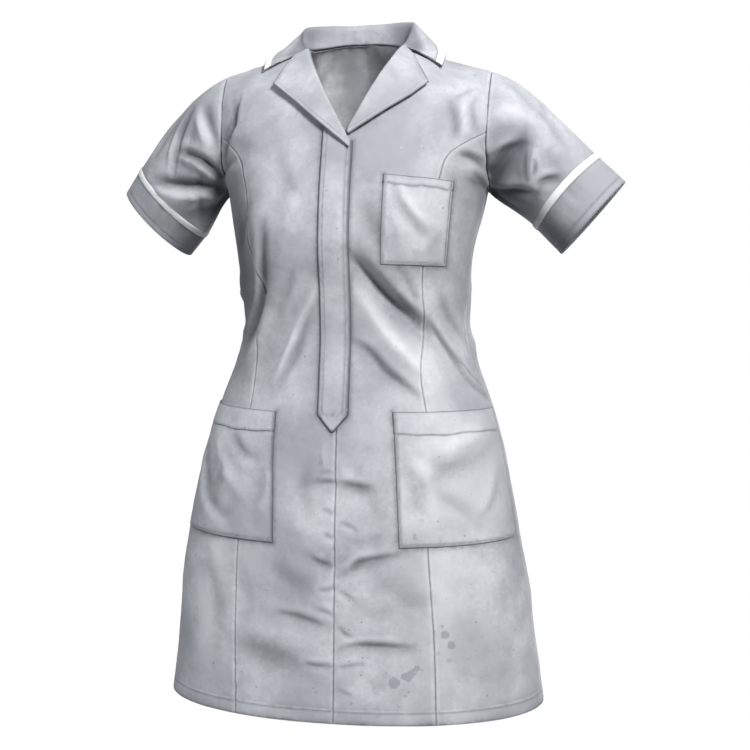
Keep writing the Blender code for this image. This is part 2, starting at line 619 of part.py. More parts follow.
def triangles(grid, closed):
    """Two triangles for each cell of a grid, split along its shorter diagonal."""
    rows, columns = grid.shape[:2]
    faces = []
    for row in range(rows - 1):
        for column in range(columns if closed else columns - 1):
            after = (column + 1) % columns
            corners = [(row, column), (row, after), (row + 1, after), (row + 1, column)]
            a, b, c, d = (r * columns + k for r, k in corners)
            pa, pb, pc, pd = (grid[r, k] for r, k in corners)
            if np.linalg.norm(pa - pc) <= np.linalg.norm(pb - pd):
                faces += [(a, b, c), (a, c, d)]
            else:
                faces += [(a, b, d), (b, c, d)]
    return faces


def principled(name, colour, roughness):
    """A plain cloth material."""
    material = bpy.data.materials.new(name)
    material.use_nodes = True
    shader = material.node_tree.nodes["Principled BSDF"]
    shader.inputs["Base Color"].default_value = colour
    shader.inputs["Roughness"].default_value = roughness
    shader.inputs["Metallic"].default_value = 0.0
    return material


def sew_piece(name, grid, thickness, colour, roughness, closed=False):
    """One cloth piece: the sheet of its grid, given its thickness by Solidify."""
    grid = trimmed(grid, closed)
    mesh = bpy.data.meshes.new(name)
    mesh.from_pydata(grid.reshape(-1, 3).tolist(), [], triangles(grid, closed))
    mesh.shade_smooth()
    piece = bpy.data.objects.new(name, mesh)
    mesh.materials.append(principled(name + "_cloth", colour, roughness))
    wall = piece.modifiers.new("Thickness", "SOLIDIFY")
    wall.thickness = thickness
    wall.offset = 0.0
    return piece


def build_dress():
    """All pieces of the dress, in one collection under one empty."""
    for old in list(bpy.data.objects):
        bpy.data.objects.remove(old, do_unlink=True)
    dress = bpy.data.collections.new("nurse_uniform_dress")
    bpy.context.scene.collection.children.link(dress)
    root = bpy.data.objects.new("dress_origin", None)
    dress.objects.link(root)

    grey = (GREY_CLOTH, CLOTH_ROUGHNESS)
    inner = (INNER_GREY, CLOTH_ROUGHNESS)
    white = (WHITE_TAPE, TAPE_ROUGHNESS)
    collar_grid = collar_sections()
    pieces = [
        sew_piece("back", back_panel(), CLOTH, *inner),
        sew_piece("collar", collar_grid, DOUBLE_CLOTH, *grey),
        sew_piece("collar_trim", collar_trim(collar_grid), TAPE, *white),
        sew_piece("placket", placket(), DOUBLE_CLOTH, *grey),
        sew_piece("pocket_chest", chest_pocket(), CLOTH, *grey),
    ]
    for side, label in ((1, "left"), (-1, "right")):
        pieces += [
            sew_piece("front_" + label, centre_front(side), CLOTH, *grey),
            sew_piece("side_front_" + label, side_front(side), CLOTH, *grey),
            sew_piece("lapel_" + label, lapel(side, label), DOUBLE_CLOTH, *grey),
            sew_piece("pocket_hip_" + label, hip_pocket(side, label), CLOTH, *grey),
            sew_piece("sleeve_" + label, sleeve(side, label), CLOTH, *grey, closed=True),
            sew_piece("cuff_" + label, cuff(side, label), DOUBLE_CLOTH, *grey, closed=True),
            sew_piece("sleeve_tape_" + label, sleeve_tape(side, label), TAPE, *white, closed=True),
        ]
    for piece in pieces:
        dress.objects.link(piece)
        piece.parent = root


build_dress()
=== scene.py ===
import math

import bpy
import numpy as np
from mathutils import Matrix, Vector, noise


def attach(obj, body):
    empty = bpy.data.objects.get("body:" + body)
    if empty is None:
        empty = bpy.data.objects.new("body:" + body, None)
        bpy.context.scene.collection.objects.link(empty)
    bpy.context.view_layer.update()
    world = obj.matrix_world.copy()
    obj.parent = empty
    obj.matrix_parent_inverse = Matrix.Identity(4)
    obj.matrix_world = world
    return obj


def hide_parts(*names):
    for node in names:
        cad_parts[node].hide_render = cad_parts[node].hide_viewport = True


# A short-sleeved nurse's uniform dress, worn and hollow.
# Metres, +Z up, front towards -Y, the wearer's left is +X.
# A point of the trunk is an angle round the body (0 in front, 90 degrees at the wearer's left)
# and a height; a point of a sleeve is a turn round the arm and a share of the way down it.

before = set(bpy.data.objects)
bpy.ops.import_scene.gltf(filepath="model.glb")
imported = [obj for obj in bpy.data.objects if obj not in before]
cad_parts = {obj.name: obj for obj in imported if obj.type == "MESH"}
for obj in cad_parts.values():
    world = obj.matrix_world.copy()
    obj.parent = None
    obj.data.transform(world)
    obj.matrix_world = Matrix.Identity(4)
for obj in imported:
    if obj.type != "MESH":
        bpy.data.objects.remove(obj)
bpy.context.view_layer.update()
print("dress: frame loaded")


# small helpers

def along(start, end, share):
    return start + (end - start) * share


def ease(share):
    share = np.clip(share, 0.0, 1.0)
    return share * share * (3.0 - 2.0 * share)


def unit(vectors):
    vectors = np.asarray(vectors, float)
    return vectors / np.maximum(np.linalg.norm(vectors, axis=-1, keepdims=True), 1e-9)


def curve(t, start, end, leave, arrive, step=1.0):
    # from start to end, setting off along leave and landing along arrive
    return ((2 * t**3 - 3 * t**2 + 1) * start + (t**3 - 2 * t**2 + t) * step * leave
            + (3 * t**2 - 2 * t**3) * end + (t**3 - t**2) * step * arrive)


def readTable(table, column, at):       # one column of a table as a smooth curve
    stations = np.array([row[0] for row in table], float)
    values = np.array([row[column] for row in table], float)
    slopes = np.gradient(values, stations)
    first = np.clip(np.searchsorted(stations, at) - 1, 0, len(stations) - 2)
    step = stations[first + 1] - stations[first]
    t = np.clip((at - stations[first]) / step, 0.0, 1.0)
    return curve(t, values[first], values[first + 1], slopes[first], slopes[first + 1], step)


def spacing(length, step, near=()):
    # distances from 0 to length, about a step apart, that also pass through the given ones
    even = np.linspace(0.0, length, max(2, int(round(length / step))) + 1)
    extra = np.array(sorted(near))
    if len(extra):
        clear = np.abs(even[:, None] - extra[None, :]).min(axis=1) > 0.45 * step
        clear[0] = clear[-1] = True
        even = even[clear]
    return np.unique(np.round(np.concatenate([even, extra]), 6))


def bothEnds(length, distances):        # the same few distances from either end
    return list(distances) + [length - d for d in distances]


def unevenness(points, size):           # smooth noise with waves of about this size
    flat = (points / size).reshape(-1, 3).tolist()
    return np.array([noise.noise(Vector(p)) for p in flat]).reshape(points.shape[:-1])


# the trunk's form

trunkForm = {
    "hemHeight": -0.909,
    "armpitHeight": -0.195,
    "yokeHeight": -0.117,           # foot of the neck opening and top of the princess seams
    "neckSide": 0.066, "neckHeight": 0.004,         # inner end of a shoulder seam
    "tipSide": 0.189, "tipHeight": -0.031,          # outer end of a shoulder seam
    "shoulderDepth": 0.010,
    "backNeckHeight": 0.016, "backNeckRise": 0.018,
    "frontRound": 0.115, "backRound": 0.105,        # height over which the shoulders round over
    "armholeSide": 0.186,
    "closingSide": 0.0045, "closingEaseHeight": -0.200, "closingEase": 0.080,
    "levels": [
        # height, half width, front, side, back, squareness
        (-0.909, 0.2690, -0.168, -0.008, 0.150, 2.15),
        (-0.850, 0.2610, -0.165, -0.008, 0.148, 2.15),
        (-0.780, 0.2530, -0.162, -0.008, 0.146, 2.15),
        (-0.700, 0.2420, -0.158, -0.008, 0.143, 2.15),
        (-0.620, 0.2270, -0.153, -0.007, 0.138, 2.15),
        (-0.550, 0.2110, -0.147, -0.005, 0.128, 2.15),
        (-0.490, 0.1930, -0.139, -0.003, 0.112, 2.15),
        (-0.440, 0.1750, -0.130, -0.001, 0.094, 2.15),
        (-0.385, 0.1610, -0.121, 0.000, 0.080, 2.15),
        (-0.330, 0.1640, -0.126, 0.001, 0.084, 2.20),
        (-0.275, 0.1690, -0.137, 0.003, 0.094, 2.25),
        (-0.240, 0.1750, -0.135, 0.005, 0.099, 2.30),
        (-0.195, 0.1840, -0.126, 0.008, 0.103, 2.35),
        (-0.150, 0.1960, -0.112, 0.009, 0.104, 2.40),
        (-0.110, 0.2020, -0.100, 0.010, 0.102, 2.40),
        (-0.060, 0.2040, -0.086, 0.010, 0.094, 2.40),
        (0.000, 0.2040, -0.074, 0.010, 0.086, 2.40),
        (0.050, 0.2040, -0.070, 0.010, 0.082, 2.40),
    ],
    "princessSeam": [
        # height, distance from the middle on the wearer's left, on the right
        (-0.909, 0.1370, 0.1415),
        (-0.800, 0.1330, 0.1435),
        (-0.670, 0.1230, 0.1405),
        (-0.485, 0.1165, 0.1270),
        (-0.435, 0.1065, 0.1225),
        (-0.390, 0.1110, 0.1200),
        (-0.330, 0.1085, 0.1150),
        (-0.270, 0.1140, 0.1330),
        (-0.180, 0.1310, 0.1390),
        (-0.145, 0.1450, 0.1520),
        (-0.117, 0.1860, 0.1860),
    ],
    "sideSeam": [
        # height, degrees from the centre front
        (-0.909, 87.0),
        (-0.670, 88.0),
        (-0.500, 89.0),
        (-0.450, 80.0),
        (-0.390, 79.0),
        (-0.300, 83.0),
        (-0.195, 90.0),
    ],
}

trunkFolds = {
    "radius": 0.17,         # turns an angle between folds into a distance along the cloth
    "strength": 1.9,        # how deep the creases below are pressed
    "broad": [
        # from angle, height, to angle, height, width, depth (below nought is a trough)
        (8, -0.290, 52, -0.392, 0.017, -0.0075),
        (14, -0.262, 50, -0.352, 0.015, 0.0035),
        (8, -0.402, 46, -0.478, 0.018, -0.0050),
        (20, -0.385, 60, -0.455, 0.016, 0.0040),
        (-50, -0.270, -66, -0.392, 0.014, -0.0060),
        (-14, -0.320, -46, -0.455, 0.018, -0.0040),
        (-34, -0.300, -52, -0.400, 0.016, 0.0040),
        (-86, -0.318, -100, -0.342, 0.024, 0.0100),
        (-84, -0.422, -98, -0.430, 0.020, -0.0050),
        (90, -0.240, 92, -0.330, 0.022, -0.0065),
        (86, -0.404, 98, -0.408, 0.014, 0.0030),
        (-90, -0.560, -90, -0.800, 0.060, 0.0055),
        (90, -0.560, 90, -0.760, 0.060, -0.0040),
        (-16, -0.590, 16, -0.602, 0.012, -0.0030),
        (-18, -0.690, 22, -0.700, 0.014, -0.0035),
        (2, -0.800, 34, -0.806, 0.013, -0.0030),
        (112, -0.300, 142, -0.398, 0.018, -0.0050),
        (248, -0.262, 218, -0.330, 0.018, -0.0045),
        (126, -0.330, 152, -0.405, 0.018, 0.0040),
        (236, -0.345, 206, -0.430, 0.018, 0.0040),
        (120, -0.470, 128, -0.800, 0.040, 0.0045),
        (240, -0.480, 232, -0.780, 0.040, 0.0045),
    ],
    "grime": [
        # painted shade in the folds (+) and painted highlights on the ridges (-): width, strength, hard side,
        # path
        (0.0100, 0.38, 0.3, [(8, -0.258), (20, -0.296), (34, -0.334), (50, -0.372)]),
        (0.0060, 0.36, 0.4, [(32, -0.330), (42, -0.352), (54, -0.384)]),
        (0.0060, 0.28, 0.3, [(12, -0.398), (26, -0.424), (42, -0.464)]),
        (0.0042, 0.50, 0.0, [(44, -0.352), (52, -0.370), (60, -0.396), (68, -0.426), (84, -0.474)]),
        (0.0110, -0.34, 0.0, [(12, -0.332), (26, -0.376), (40, -0.420), (48, -0.455)]),
        (0.0090, 0.30, 0.0, [(-56, -0.200), (-60, -0.250), (-64, -0.300), (-70, -0.340)]),
        (0.0070, 0.36, 0.0, [(-42, -0.242), (-45, -0.290), (-50, -0.336), (-60, -0.376)]),
        (0.0070, 0.28, 0.0, [(-18, -0.352), (-28, -0.406), (-38, -0.462)]),
        (0.0065, -0.28, 0.0, [(-12, -0.316), (-21, -0.356), (-31, -0.398), (-38, -0.445)]),
        (0.0050, 0.56, 0.0, [(-69, -0.060), (-67, -0.078), (-67, -0.099), (-69, -0.117), (-69.5, -0.132)]),
        (0.0075, 0.44, 0.0, [(-69, -0.116), (-69, -0.140), (-71, -0.172)]),
        (0.0090, 0.24, 0.0, [(-62, -0.126), (-55, -0.134), (-48, -0.138)]),
        (0.0048, 0.36, 0.0, [(59.7, -0.080), (60.8, -0.103), (61, -0.122)]),
        (0.0034, 0.26, 0.0, [(60, -0.077), (66.7, -0.064), (70, -0.061), (73, -0.066)]),
        (0.0042, 0.38, 0.0, [(69.8, -0.070), (67.6, -0.088), (68.7, -0.108), (70, -0.122)]),
        (0.0045, -0.42, 0.0, [(65.7, -0.072), (64.1, -0.095), (64.7, -0.118)]),
        (0.0052, 0.60, 0.3, [(60, -0.148), (65, -0.149), (69, -0.153), (75, -0.164)]),
        (0.0050, -0.24, 0.0, [(63, -0.166), (70, -0.168), (76, -0.174)]),
        (0.0056, 0.56, 0.3, [(64, -0.180), (70, -0.183), (79, -0.190)]),
        (0.0060, 0.36, 0.4, [(2, -0.588), (9, -0.592), (20, -0.596)]),
        (0.0060, 0.32, 0.3, [(2, -0.709), (12, -0.696), (30, -0.684)]),
        (0.0070, 0.30, 0.3, [(2, -0.810), (16, -0.806), (38, -0.810)]),
        (0.0060, 0.24, 0.3, [(-13, -0.686), (-7, -0.695), (0, -0.702)]),
        (0.0130, 0.30, 0.0, [(-48, -0.806), (-38, -0.822), (-26, -0.828), (-12, -0.832)]),
        (0.0100, 0.26, 0.0, [(-14, -0.560), (-16, -0.600), (-12, -0.640)]),
        (0.0110, 0.22, 0.0, [(12, -0.560), (18, -0.600), (26, -0.640)]),
        (0.0080, 0.24, 0.0, [(4, -0.655), (14, -0.662), (26, -0.650)]),
        (0.0100, 0.20, 0.0, [(8, -0.742), (18, -0.756), (30, -0.752)]),
        (0.0140, 0.20, 0.0, [(-50, -0.690), (-44, -0.720), (-40, -0.760)]),
        (0.0100, 0.24, 0.0, [(-30, -0.768), (-18, -0.772), (-4, -0.780)]),
        (0.0200, 0.50, 0.0, [(-90, -0.430), (-84, -0.520), (-83, -0.640), (-84, -0.870)]),
        (0.0260, 0.36, 0.0, [(-79, -0.300), (-72, -0.370), (-62, -0.420), (-55, -0.474)]),
        (0.0160, 0.24, 0.0, [(-47, -0.396), (-43, -0.440), (-41, -0.480)]),
        (0.0220, 0.40, 0.0, [(14, -0.190), (22, -0.245), (31, -0.288), (40, -0.330)]),
        (0.0200, 0.26, 0.0, [(-38, -0.280), (-41, -0.345), (-43, -0.410)]),
        (0.0240, -0.34, 0.0, [(-57, -0.550), (-59, -0.700), (-60, -0.870)]),
        (0.0280, -0.26, 0.0, [(-36, -0.560), (-40, -0.650), (-37, -0.730)]),
        (0.0340, -0.36, 0.0, [(44, -0.430), (50, -0.560), (48, -0.700), (46, -0.870)]),
        (0.0260, -0.22, 0.0, [(52, -0.200), (58, -0.250), (60, -0.320)]),
        (0.0200, -0.16, 0.0, [(-44, -0.560), (-48, -0.660), (-44, -0.780)]),
        (0.0080, 0.26, 0.0, [(104, -0.292), (120, -0.330), (136, -0.376), (148, -0.420)]),
        (0.0075, 0.26, 0.0, [(252, -0.262), (238, -0.292), (224, -0.318), (206, -0.340)]),
        (0.0070, 0.22, 0.0, [(254, -0.352), (240, -0.384), (224, -0.424), (212, -0.462)]),
        (0.0060, 0.18, 0.0, [(112, -0.372), (124, -0.412), (132, -0.448)]),
        (0.0080, 0.22, 0.0, [(112, -0.170), (124, -0.196), (140, -0.212)]),
        (0.0080, 0.22, 0.0, [(248, -0.168), (238, -0.190), (222, -0.206)]),
    ],
    "creases": [
        # width, depth, side ridge (share of the depth, + above or to the right of the way it
        # runs), path of (angle, height)
        # -- waist, wearer's left --
        (0.0085, -0.0042, 0.5, [(6, -0.282), (18, -0.312), (29, -0.340), (41, -0.365), (52, -0.390)]),
        (0.0060, -0.0024, 0.4, [(8, -0.401), (18, -0.411), (27, -0.438), (36, -0.455), (45, -0.478)]),
        (0.0040, -0.0018, 0.7, [(52, -0.367), (63, -0.414), (72, -0.455), (86, -0.486)]),
        (0.0090, 0.0022, 0.0, [(10, -0.330), (26, -0.382), (40, -0.425), (50, -0.462)]),
        (0.0070, -0.0020, 0.3, [(31, -0.295), (38, -0.318), (46, -0.352)]),
        (0.0060, -0.0016, 0.3, [(56, -0.330), (66, -0.372), (80, -0.402)]),
        # -- waist, wearer's right --
        (0.0080, -0.0046, -0.6, [(-42, -0.240), (-44, -0.275), (-47, -0.310), (-52, -0.346),
                                 (-61, -0.380), (-69, -0.409)]),
        (0.0055, 0.0026, 0.0, [(-11, -0.312), (-20, -0.350), (-30, -0.386), (-39, -0.455)]),
        (0.0070, 0.0016, 0.0, [(-13, -0.343), (-20, -0.375), (-27, -0.415)]),
        (0.0080, -0.0022, 0.3, [(-16, -0.352), (-27, -0.410), (-38, -0.470)]),
        (0.0075, -0.0018, 0.2, [(-26, -0.300), (-34, -0.335), (-44, -0.372)]),
        (0.0090, 0.0020, 0.0, [(-66, -0.443), (-52, -0.386), (-46, -0.350)]),
        (0.0060, -0.0022, 0.4, [(-78, -0.300), (-88, -0.328), (-101, -0.338)]),
        (0.0060, -0.0020, 0.4, [(-76, -0.372), (-90, -0.396), (-104, -0.402)]),
        # -- chest and armholes --
        (0.0050, -0.0036, 0.4, [(-66, -0.062), (-66, -0.084), (-65, -0.104), (-68, -0.124),
                                (-70, -0.150)]),
        (0.0060, -0.0022, 0.5, [(60, -0.074), (62, -0.101), (59, -0.136)]),
        (0.0060, 0.0020, 0.0, [(66, -0.110), (68, -0.080), (70, -0.062), (73, -0.075), (71, -0.118)]),
        (0.0048, -0.0030, 0.5, [(61, -0.146), (68, -0.152), (75, -0.162)]),
        (0.0050, -0.0026, 0.5, [(68, -0.172), (78, -0.188), (86, -0.196)]),
        (0.0055, -0.0024, 0.4, [(-60, -0.150), (-70, -0.162), (-82, -0.180)]),
        (0.0090, -0.0016, 0.3, [(-52, -0.200), (-58, -0.250), (-72, -0.300)]),
        (0.0100, -0.0014, 0.2, [(12, -0.205), (18, -0.245), (30, -0.290)]),
        (0.0100, 0.0014, 0.0, [(-12, -0.150), (-24, -0.205), (-30, -0.260)]),
        (0.0120, -0.0014, 0.0, [(-40, -0.140), (-30, -0.185), (-18, -0.215)]),
        # -- puckers of the centre front seam --
        (0.0058, -0.0022, 0.5, [(1.5, -0.586), (9, -0.590), (20, -0.594)]),
        (0.0048, -0.0016, 0.4, [(-11, -0.588), (-4, -0.585), (1, -0.588)]),
        (0.0040, -0.0012, 0.4, [(-9, -0.578), (-5, -0.574), (1, -0.577)]),
        (0.0050, -0.0020, 0.6, [(2, -0.711), (8, -0.708), (11, -0.695), (17, -0.689), (23, -0.686),
                                (34, -0.680)]),
        (0.0042, 0.0012, 0.0, [(2, -0.698), (7, -0.694), (12, -0.682)]),
        (0.0048, -0.0018, 0.4, [(-13, -0.686), (-8, -0.694), (-3, -0.698), (1, -0.702)]),
        (0.0040, -0.0011, 0.4, [(-8, -0.733), (-3, -0.730), (1, -0.729)]),
        (0.0038, -0.0011, 0.4, [(2, -0.729), (6, -0.737), (11, -0.744)]),
        (0.0056, -0.0020, 0.4, [(-30, -0.765), (-18, -0.769), (-8, -0.776), (-4, -0.778)]),
        (0.0040, -0.0012, 0.4, [(-9, -0.757), (-3, -0.761), (1, -0.766)]),
        (0.0040, -0.0014, 0.4, [(2, -0.776), (5, -0.788), (10, -0.793)]),
        (0.0050, -0.0022, 0.5, [(2, -0.812), (8, -0.806), (21, -0.803), (38, -0.807)]),
        (0.0044, -0.0018, 0.5, [(-15, -0.832), (-7, -0.833), (1, -0.832)]),
        (0.0042, -0.0013, 0.4, [(2, -0.836), (9, -0.831), (16, -0.827)]),
        (0.0036, -0.0010, 0.4, [(1, -0.640), (7, -0.643), (12, -0.652)]),
        (0.0036, -0.0010, 0.4, [(-8, -0.622), (-3, -0.626), (1, -0.630)]),
        (0.0036, -0.0010, 0.4, [(-6, -0.655), (-2, -0.660), (1, -0.662)]),
        (0.0036, -0.0009, 0.4, [(1, -0.862), (6, -0.868), (10, -0.872)]),
        (0.0034, 0.0010, 0.0, [(-6, -0.535), (-7, -0.550), (-6, -0.568)]),
        # -- broad, soft ones of the skirt --
        (0.0160, -0.0020, 0.3, [(-46, -0.812), (-32, -0.822), (-16, -0.829)]),
        (0.0150, -0.0018, 0.3, [(-34, -0.700), (-22, -0.722), (-10, -0.735)]),
        (0.0180, -0.0020, 0.0, [(-64, -0.700), (-58, -0.760), (-56, -0.820)]),
        (0.0160, -0.0016, 0.3, [(22, -0.720), (34, -0.742), (46, -0.750)]),
        (0.0170, 0.0018, 0.0, [(60, -0.700), (66, -0.770), (66, -0.850)]),
        (0.0150, 0.0016, 0.0, [(-24, -0.640), (-14, -0.655), (-6, -0.664)]),
        (0.0110, -0.0018, 0.3, [(-48, -0.545), (-60, -0.575), (-64, -0.620)]),
        (0.0120, -0.0018, 0.3, [(38, -0.545), (50, -0.566), (60, -0.556), (70, -0.530)]),
        (0.0110, -0.0014, 0.3, [(44, -0.600), (56, -0.622), (66, -0.660)]),
        # -- back --
        (0.0070, -0.0026, 0.5, [(104, -0.292), (120, -0.330), (136, -0.376), (148, -0.420)]),
        (0.0060, -0.0024, 0.5, [(252, -0.262), (238, -0.292), (224, -0.318), (206, -0.340)]),
        (0.0060, -0.0020, 0.5, [(254, -0.352), (240, -0.384), (224, -0.424), (212, -0.462)]),
        (0.0050, -0.0016, 0.4, [(108, -0.252), (124, -0.286), (142, -0.310)]),
        (0.0050, -0.0014, 0.4, [(112, -0.372), (124, -0.412), (132, -0.448)]),
        (0.0090, 0.0016, 0.0, [(168, -0.300), (172, -0.350), (166, -0.402)]),
        (0.0070, -0.0020, 0.4, [(112, -0.170), (124, -0.196), (140, -0.212)]),
        (0.0070, -0.0020, 0.4, [(248, -0.168), (238, -0.190), (222, -0.206)]),
        (0.0060, -0.0016, 0.4, [(106, -0.205), (116, -0.236), (132, -0.256)]),
        (0.0060, -0.0016, 0.4, [(254, -0.202), (244, -0.240), (230, -0.262)]),
        (0.0110, -0.0018, 0.3, [(126, -0.070), (134, -0.120), (138, -0.170)]),
        (0.0110, -0.0018, 0.3, [(234, -0.070), (228, -0.116), (222, -0.175)]),
        (0.0170, -0.0022, 0.0, [(150, -0.560), (154, -0.680), (150, -0.860)]),
        (0.0170, -0.0022, 0.0, [(206, -0.600), (202, -0.720), (206, -0.880)]),
        (0.0140, 0.0020, 0.0, [(178, -0.640), (182, -0.760), (178, -0.880)]),
        (0.0080, -0.0014, 0.3, [(128, -0.640), (140, -0.652), (156, -0.650)]),
        (0.0080, -0.0014, 0.3, [(216, -0.740), (204, -0.752), (190, -0.748)]),
    ],
}

clothRipple = {
    # how uneven the cloth lies: size of a wave and how far it moves
    "large": (0.085, 0.0016),
    "middle": (0.030, 0.0006),
    "small": (0.011, 0.00018),
}


def shoulderLine(side, back):
    f = trunkForm
    share = (np.abs(side) - f["neckSide"]) / (f["tipSide"] - f["neckSide"])
    height = along(f["neckHeight"], f["tipHeight"], share)
    nape = f["backNeckRise"] * np.clip(1.0 - (side / f["neckSide"]) ** 2, 0.0, None)
    return height + np.where(back, nape, 0.0)


def plainTrunk(angle, height):
    f = trunkForm
    half, front, side, back, power = (readTable(f["levels"], c, height) for c in range(1, 6))
    behind = np.cos(angle) < 0
    depth = np.where(behind, back - side, side - front)
    across, forward = np.abs(np.sin(angle)), np.abs(np.cos(angle))
    radius = ((across / half) ** power + (forward / depth) ** power) ** (-1.0 / power)
    x = radius * np.sin(angle)
    y = side - radius * np.cos(angle)
    roundOver = np.where(behind, f["backRound"], f["frontRound"])
    drop = np.clip((shoulderLine(x, behind) - height) / roundOver, 0.0, 1.0)
    y = f["shoulderDepth"] + (y - f["shoulderDepth"]) * np.sqrt(1.0 - (1.0 - drop) ** 2)
    return np.stack([x, y, height + 0.0 * x], axis=-1)


def broadFolds(rows, angle, height, radius):
    total = np.zeros(np.broadcast(angle, height).shape)
    for startAngle, startHeight, endAngle, endHeight, width, depth in rows:
        middle = 0.5 * (startAngle + endAngle)
        turn = (np.degrees(angle) - middle + 180.0) % 360.0 - 180.0
        across = np.radians(turn) * radius
        first = np.array([math.radians(startAngle - middle) * radius, startHeight])
        run = np.array([math.radians(endAngle - middle) * radius, endHeight]) - first
        share = ((across - first[0]) * run[0] + (height - first[1]) * run[1]) / (run @ run)
        near = np.clip(share, 0.0, 1.0)
        gap = np.hypot(across - first[0] - near * run[0], height - first[1] - near * run[1])
        total += depth * (0.35 + 0.65 * np.sin(np.pi * near)) * np.exp(-(gap / width) ** 2)
    return total


def nearLine(flat, line, reach):
    # which points lie near a line, how far off, the way there, and how far along it
    inside = ((flat > line.min(0) - reach) & (flat < line.max(0) + reach)).all(axis=1)
    where = np.nonzero(inside)[0]
    start, run = line[:-1], np.diff(line, axis=0)
    length = np.maximum(np.linalg.norm(run, axis=1), 1e-9)
    done = np.concatenate([[0.0], np.cumsum(length)])
    rel = flat[where][:, None, :] - start[None]
    share = np.clip((rel * run[None]).sum(-1) / length**2, 0.0, 1.0)
    gap = rel - share[..., None] * run[None]
    size = np.linalg.norm(gap, axis=-1)
    best = size.argmin(axis=1)
    pick = np.arange(len(where))
    travelled = (done[best] + share[pick, best] * length[best]) / done[-1]
    return where, size[pick, best], gap[pick, best], unit(run)[best], travelled


def nearPath(path, surface, flat, facing, reach):
    # which points lie near a path on the cloth, how far off, on which side, how far along it
    at = np.linspace(0, len(path) - 1, (len(path) - 1) * 5 + 1)
    numbered = [(k,) + tuple(p) for k, p in enumerate(path)]
    line = surface(np.radians(readTable(numbered, 1, at)), readTable(numbered, 2, at))
    where, size, gap, way, travelled = nearLine(flat, line, reach)
    return where, size, (np.cross(facing[where], way) * gap).sum(-1), travelled


def creaseLift(rows, surface, points, normals):
    # folds laid along paths on the cloth: a soft trough with a ridge beside it, fading at its ends
    flat, facing = points.reshape(-1, 3), normals.reshape(-1, 3)
    total = np.zeros(len(flat))
    for width, depth, ridge, path in rows:
        where, size, aside, travelled = nearPath(path, surface, flat, facing, 3.2 * width)
        t = size / width
        fade = np.sin(np.pi * np.clip(travelled, 0.02, 0.98)) ** 0.7
        beside = np.exp(-((t * np.sign(aside * ridge) - 1.7) / 0.95) ** 2)
        total[where] += depth * fade * (np.exp(-t ** 1.7) - abs(ridge) * beside)
    return total.reshape(points.shape[:-1])


def grimeAlong(rows, surface, points, normals):
    # painted shade or painted highlights along paths on the cloth, with one side harder than the other if
    # asked
    flat, facing = points.reshape(-1, 3), normals.reshape(-1, 3)
    darkened, paintedHighlight = np.zeros(len(flat)), np.zeros(len(flat))
    for width, amount, hard, path in rows:
        where, size, aside, travelled = nearPath(path, surface, flat, facing, 3.0 * width)
        t = size / width / np.where(aside * hard > 0, 1.0 - abs(hard), 1.0)
        fade = np.sin(np.pi * np.clip(travelled, 0.04, 0.96)) ** 0.5
        kind = darkened if amount > 0 else paintedHighlight
        kind[where] = 1.0 - (1.0 - kind[where]) * (1.0 - abs(amount) * fade * np.exp(-t ** 1.8))
    return (darkened - paintedHighlight).reshape(points.shape[:-1])


def rippleLift(points, share=1.0):
    return share * sum(amount * unevenness(points, size) for size, amount in clothRipple.values())


def trunk(angle, height, lift=0.0):
    # points of the trunk with all its folds, moved outwards by lift; also how deep in a fold, and the painted
    # shade and highlights along the folds
    angle, height = np.broadcast_arrays(np.asarray(angle, float), np.asarray(height, float))
    step = 0.001
    plain = plainTrunk(angle, height)
    roundBody = plainTrunk(angle + step, height) - plainTrunk(angle - step, height)
    upBody = plainTrunk(angle, height + step) - plainTrunk(angle, height - step)
    outward = unit(np.cross(roundBody, upBody))
    fine = trunkFolds["strength"] * creaseLift(trunkFolds["creases"], plainTrunk, plain, outward)
    broad = broadFolds(trunkFolds["broad"], angle, height, trunkFolds["radius"])
    folds = broad + fine + rippleLift(plain)
    grime = grimeAlong(trunkFolds["grime"], plainTrunk, plain, outward)
    return plain + outward * (folds + lift)[..., None], fine + 0.5 * broad, grime


def angleAt(side, height, back=False):
    side, height = np.broadcast_arrays(np.asarray(side, float), np.asarray(height, float))
    half, front, level, rear, power = (readTable(trunkForm["levels"], c, height) for c in range(1, 6))
    depth = rear - level if back else level - front
    share = np.clip(np.abs(side) / half, 0.0, 1.0)
    angle = np.arctan2(half * share, depth * (1.0 - share**power) ** (1.0 / power))
    if back:
        return np.pi - np.copysign(angle, side)
    return np.copysign(angle, side)


def armhole(turn):          # turn is 0 at the shoulder and pi under the arm
    f = trunkForm
    turn = np.asarray(turn, float)
    middle = 0.5 * (f["tipHeight"] + f["armpitHeight"])
    reach = 0.5 * (f["tipHeight"] - f["armpitHeight"])
    height = middle + reach * np.cos(turn)
    half = readTable(f["levels"], 1, height)
    share = ease((height - f["yokeHeight"]) / (f["tipHeight"] - f["yokeHeight"]))
    side = np.minimum(along(f["armholeSide"], f["tipSide"], share), half)
    behind = np.sin(turn) < 0
    return np.where(behind, angleAt(side, height, back=True), angleAt(side, height)), height


def princessAngle(height, side):
    return angleAt(side * readTable(trunkForm["princessSeam"], 1 if side > 0 else 2, height), height)


def sideAngle(height):
    return np.radians(readTable(trunkForm["sideSeam"], 1, height))


def closingSide(height):
    f = trunkForm
    return f["closingSide"] * ease((height - f["closingEaseHeight"]) / f["closingEase"])


def rise(share):            # rows closer together near the shoulder
    return 1.0 - (1.0 - share) ** 2


# finishes

def feed(tree, value, socket):          # join another node's output to a socket, or set it
    if isinstance(value, bpy.types.NodeSocket):
        tree.links.new(value, socket)
    else:
        socket.default_value = value


def fit(tree, made, **settings):        # settings go to sockets of that name, or else to the node
    for name, value in settings.items():
        socket = made.inputs.get(name.replace("_", " "))
        if socket is None:
            setattr(made, name, value)
        else:
            feed(tree, value, socket)
    return made


def node(tree, kind, **settings):
    return fit(tree, tree.nodes.new(kind), **settings)


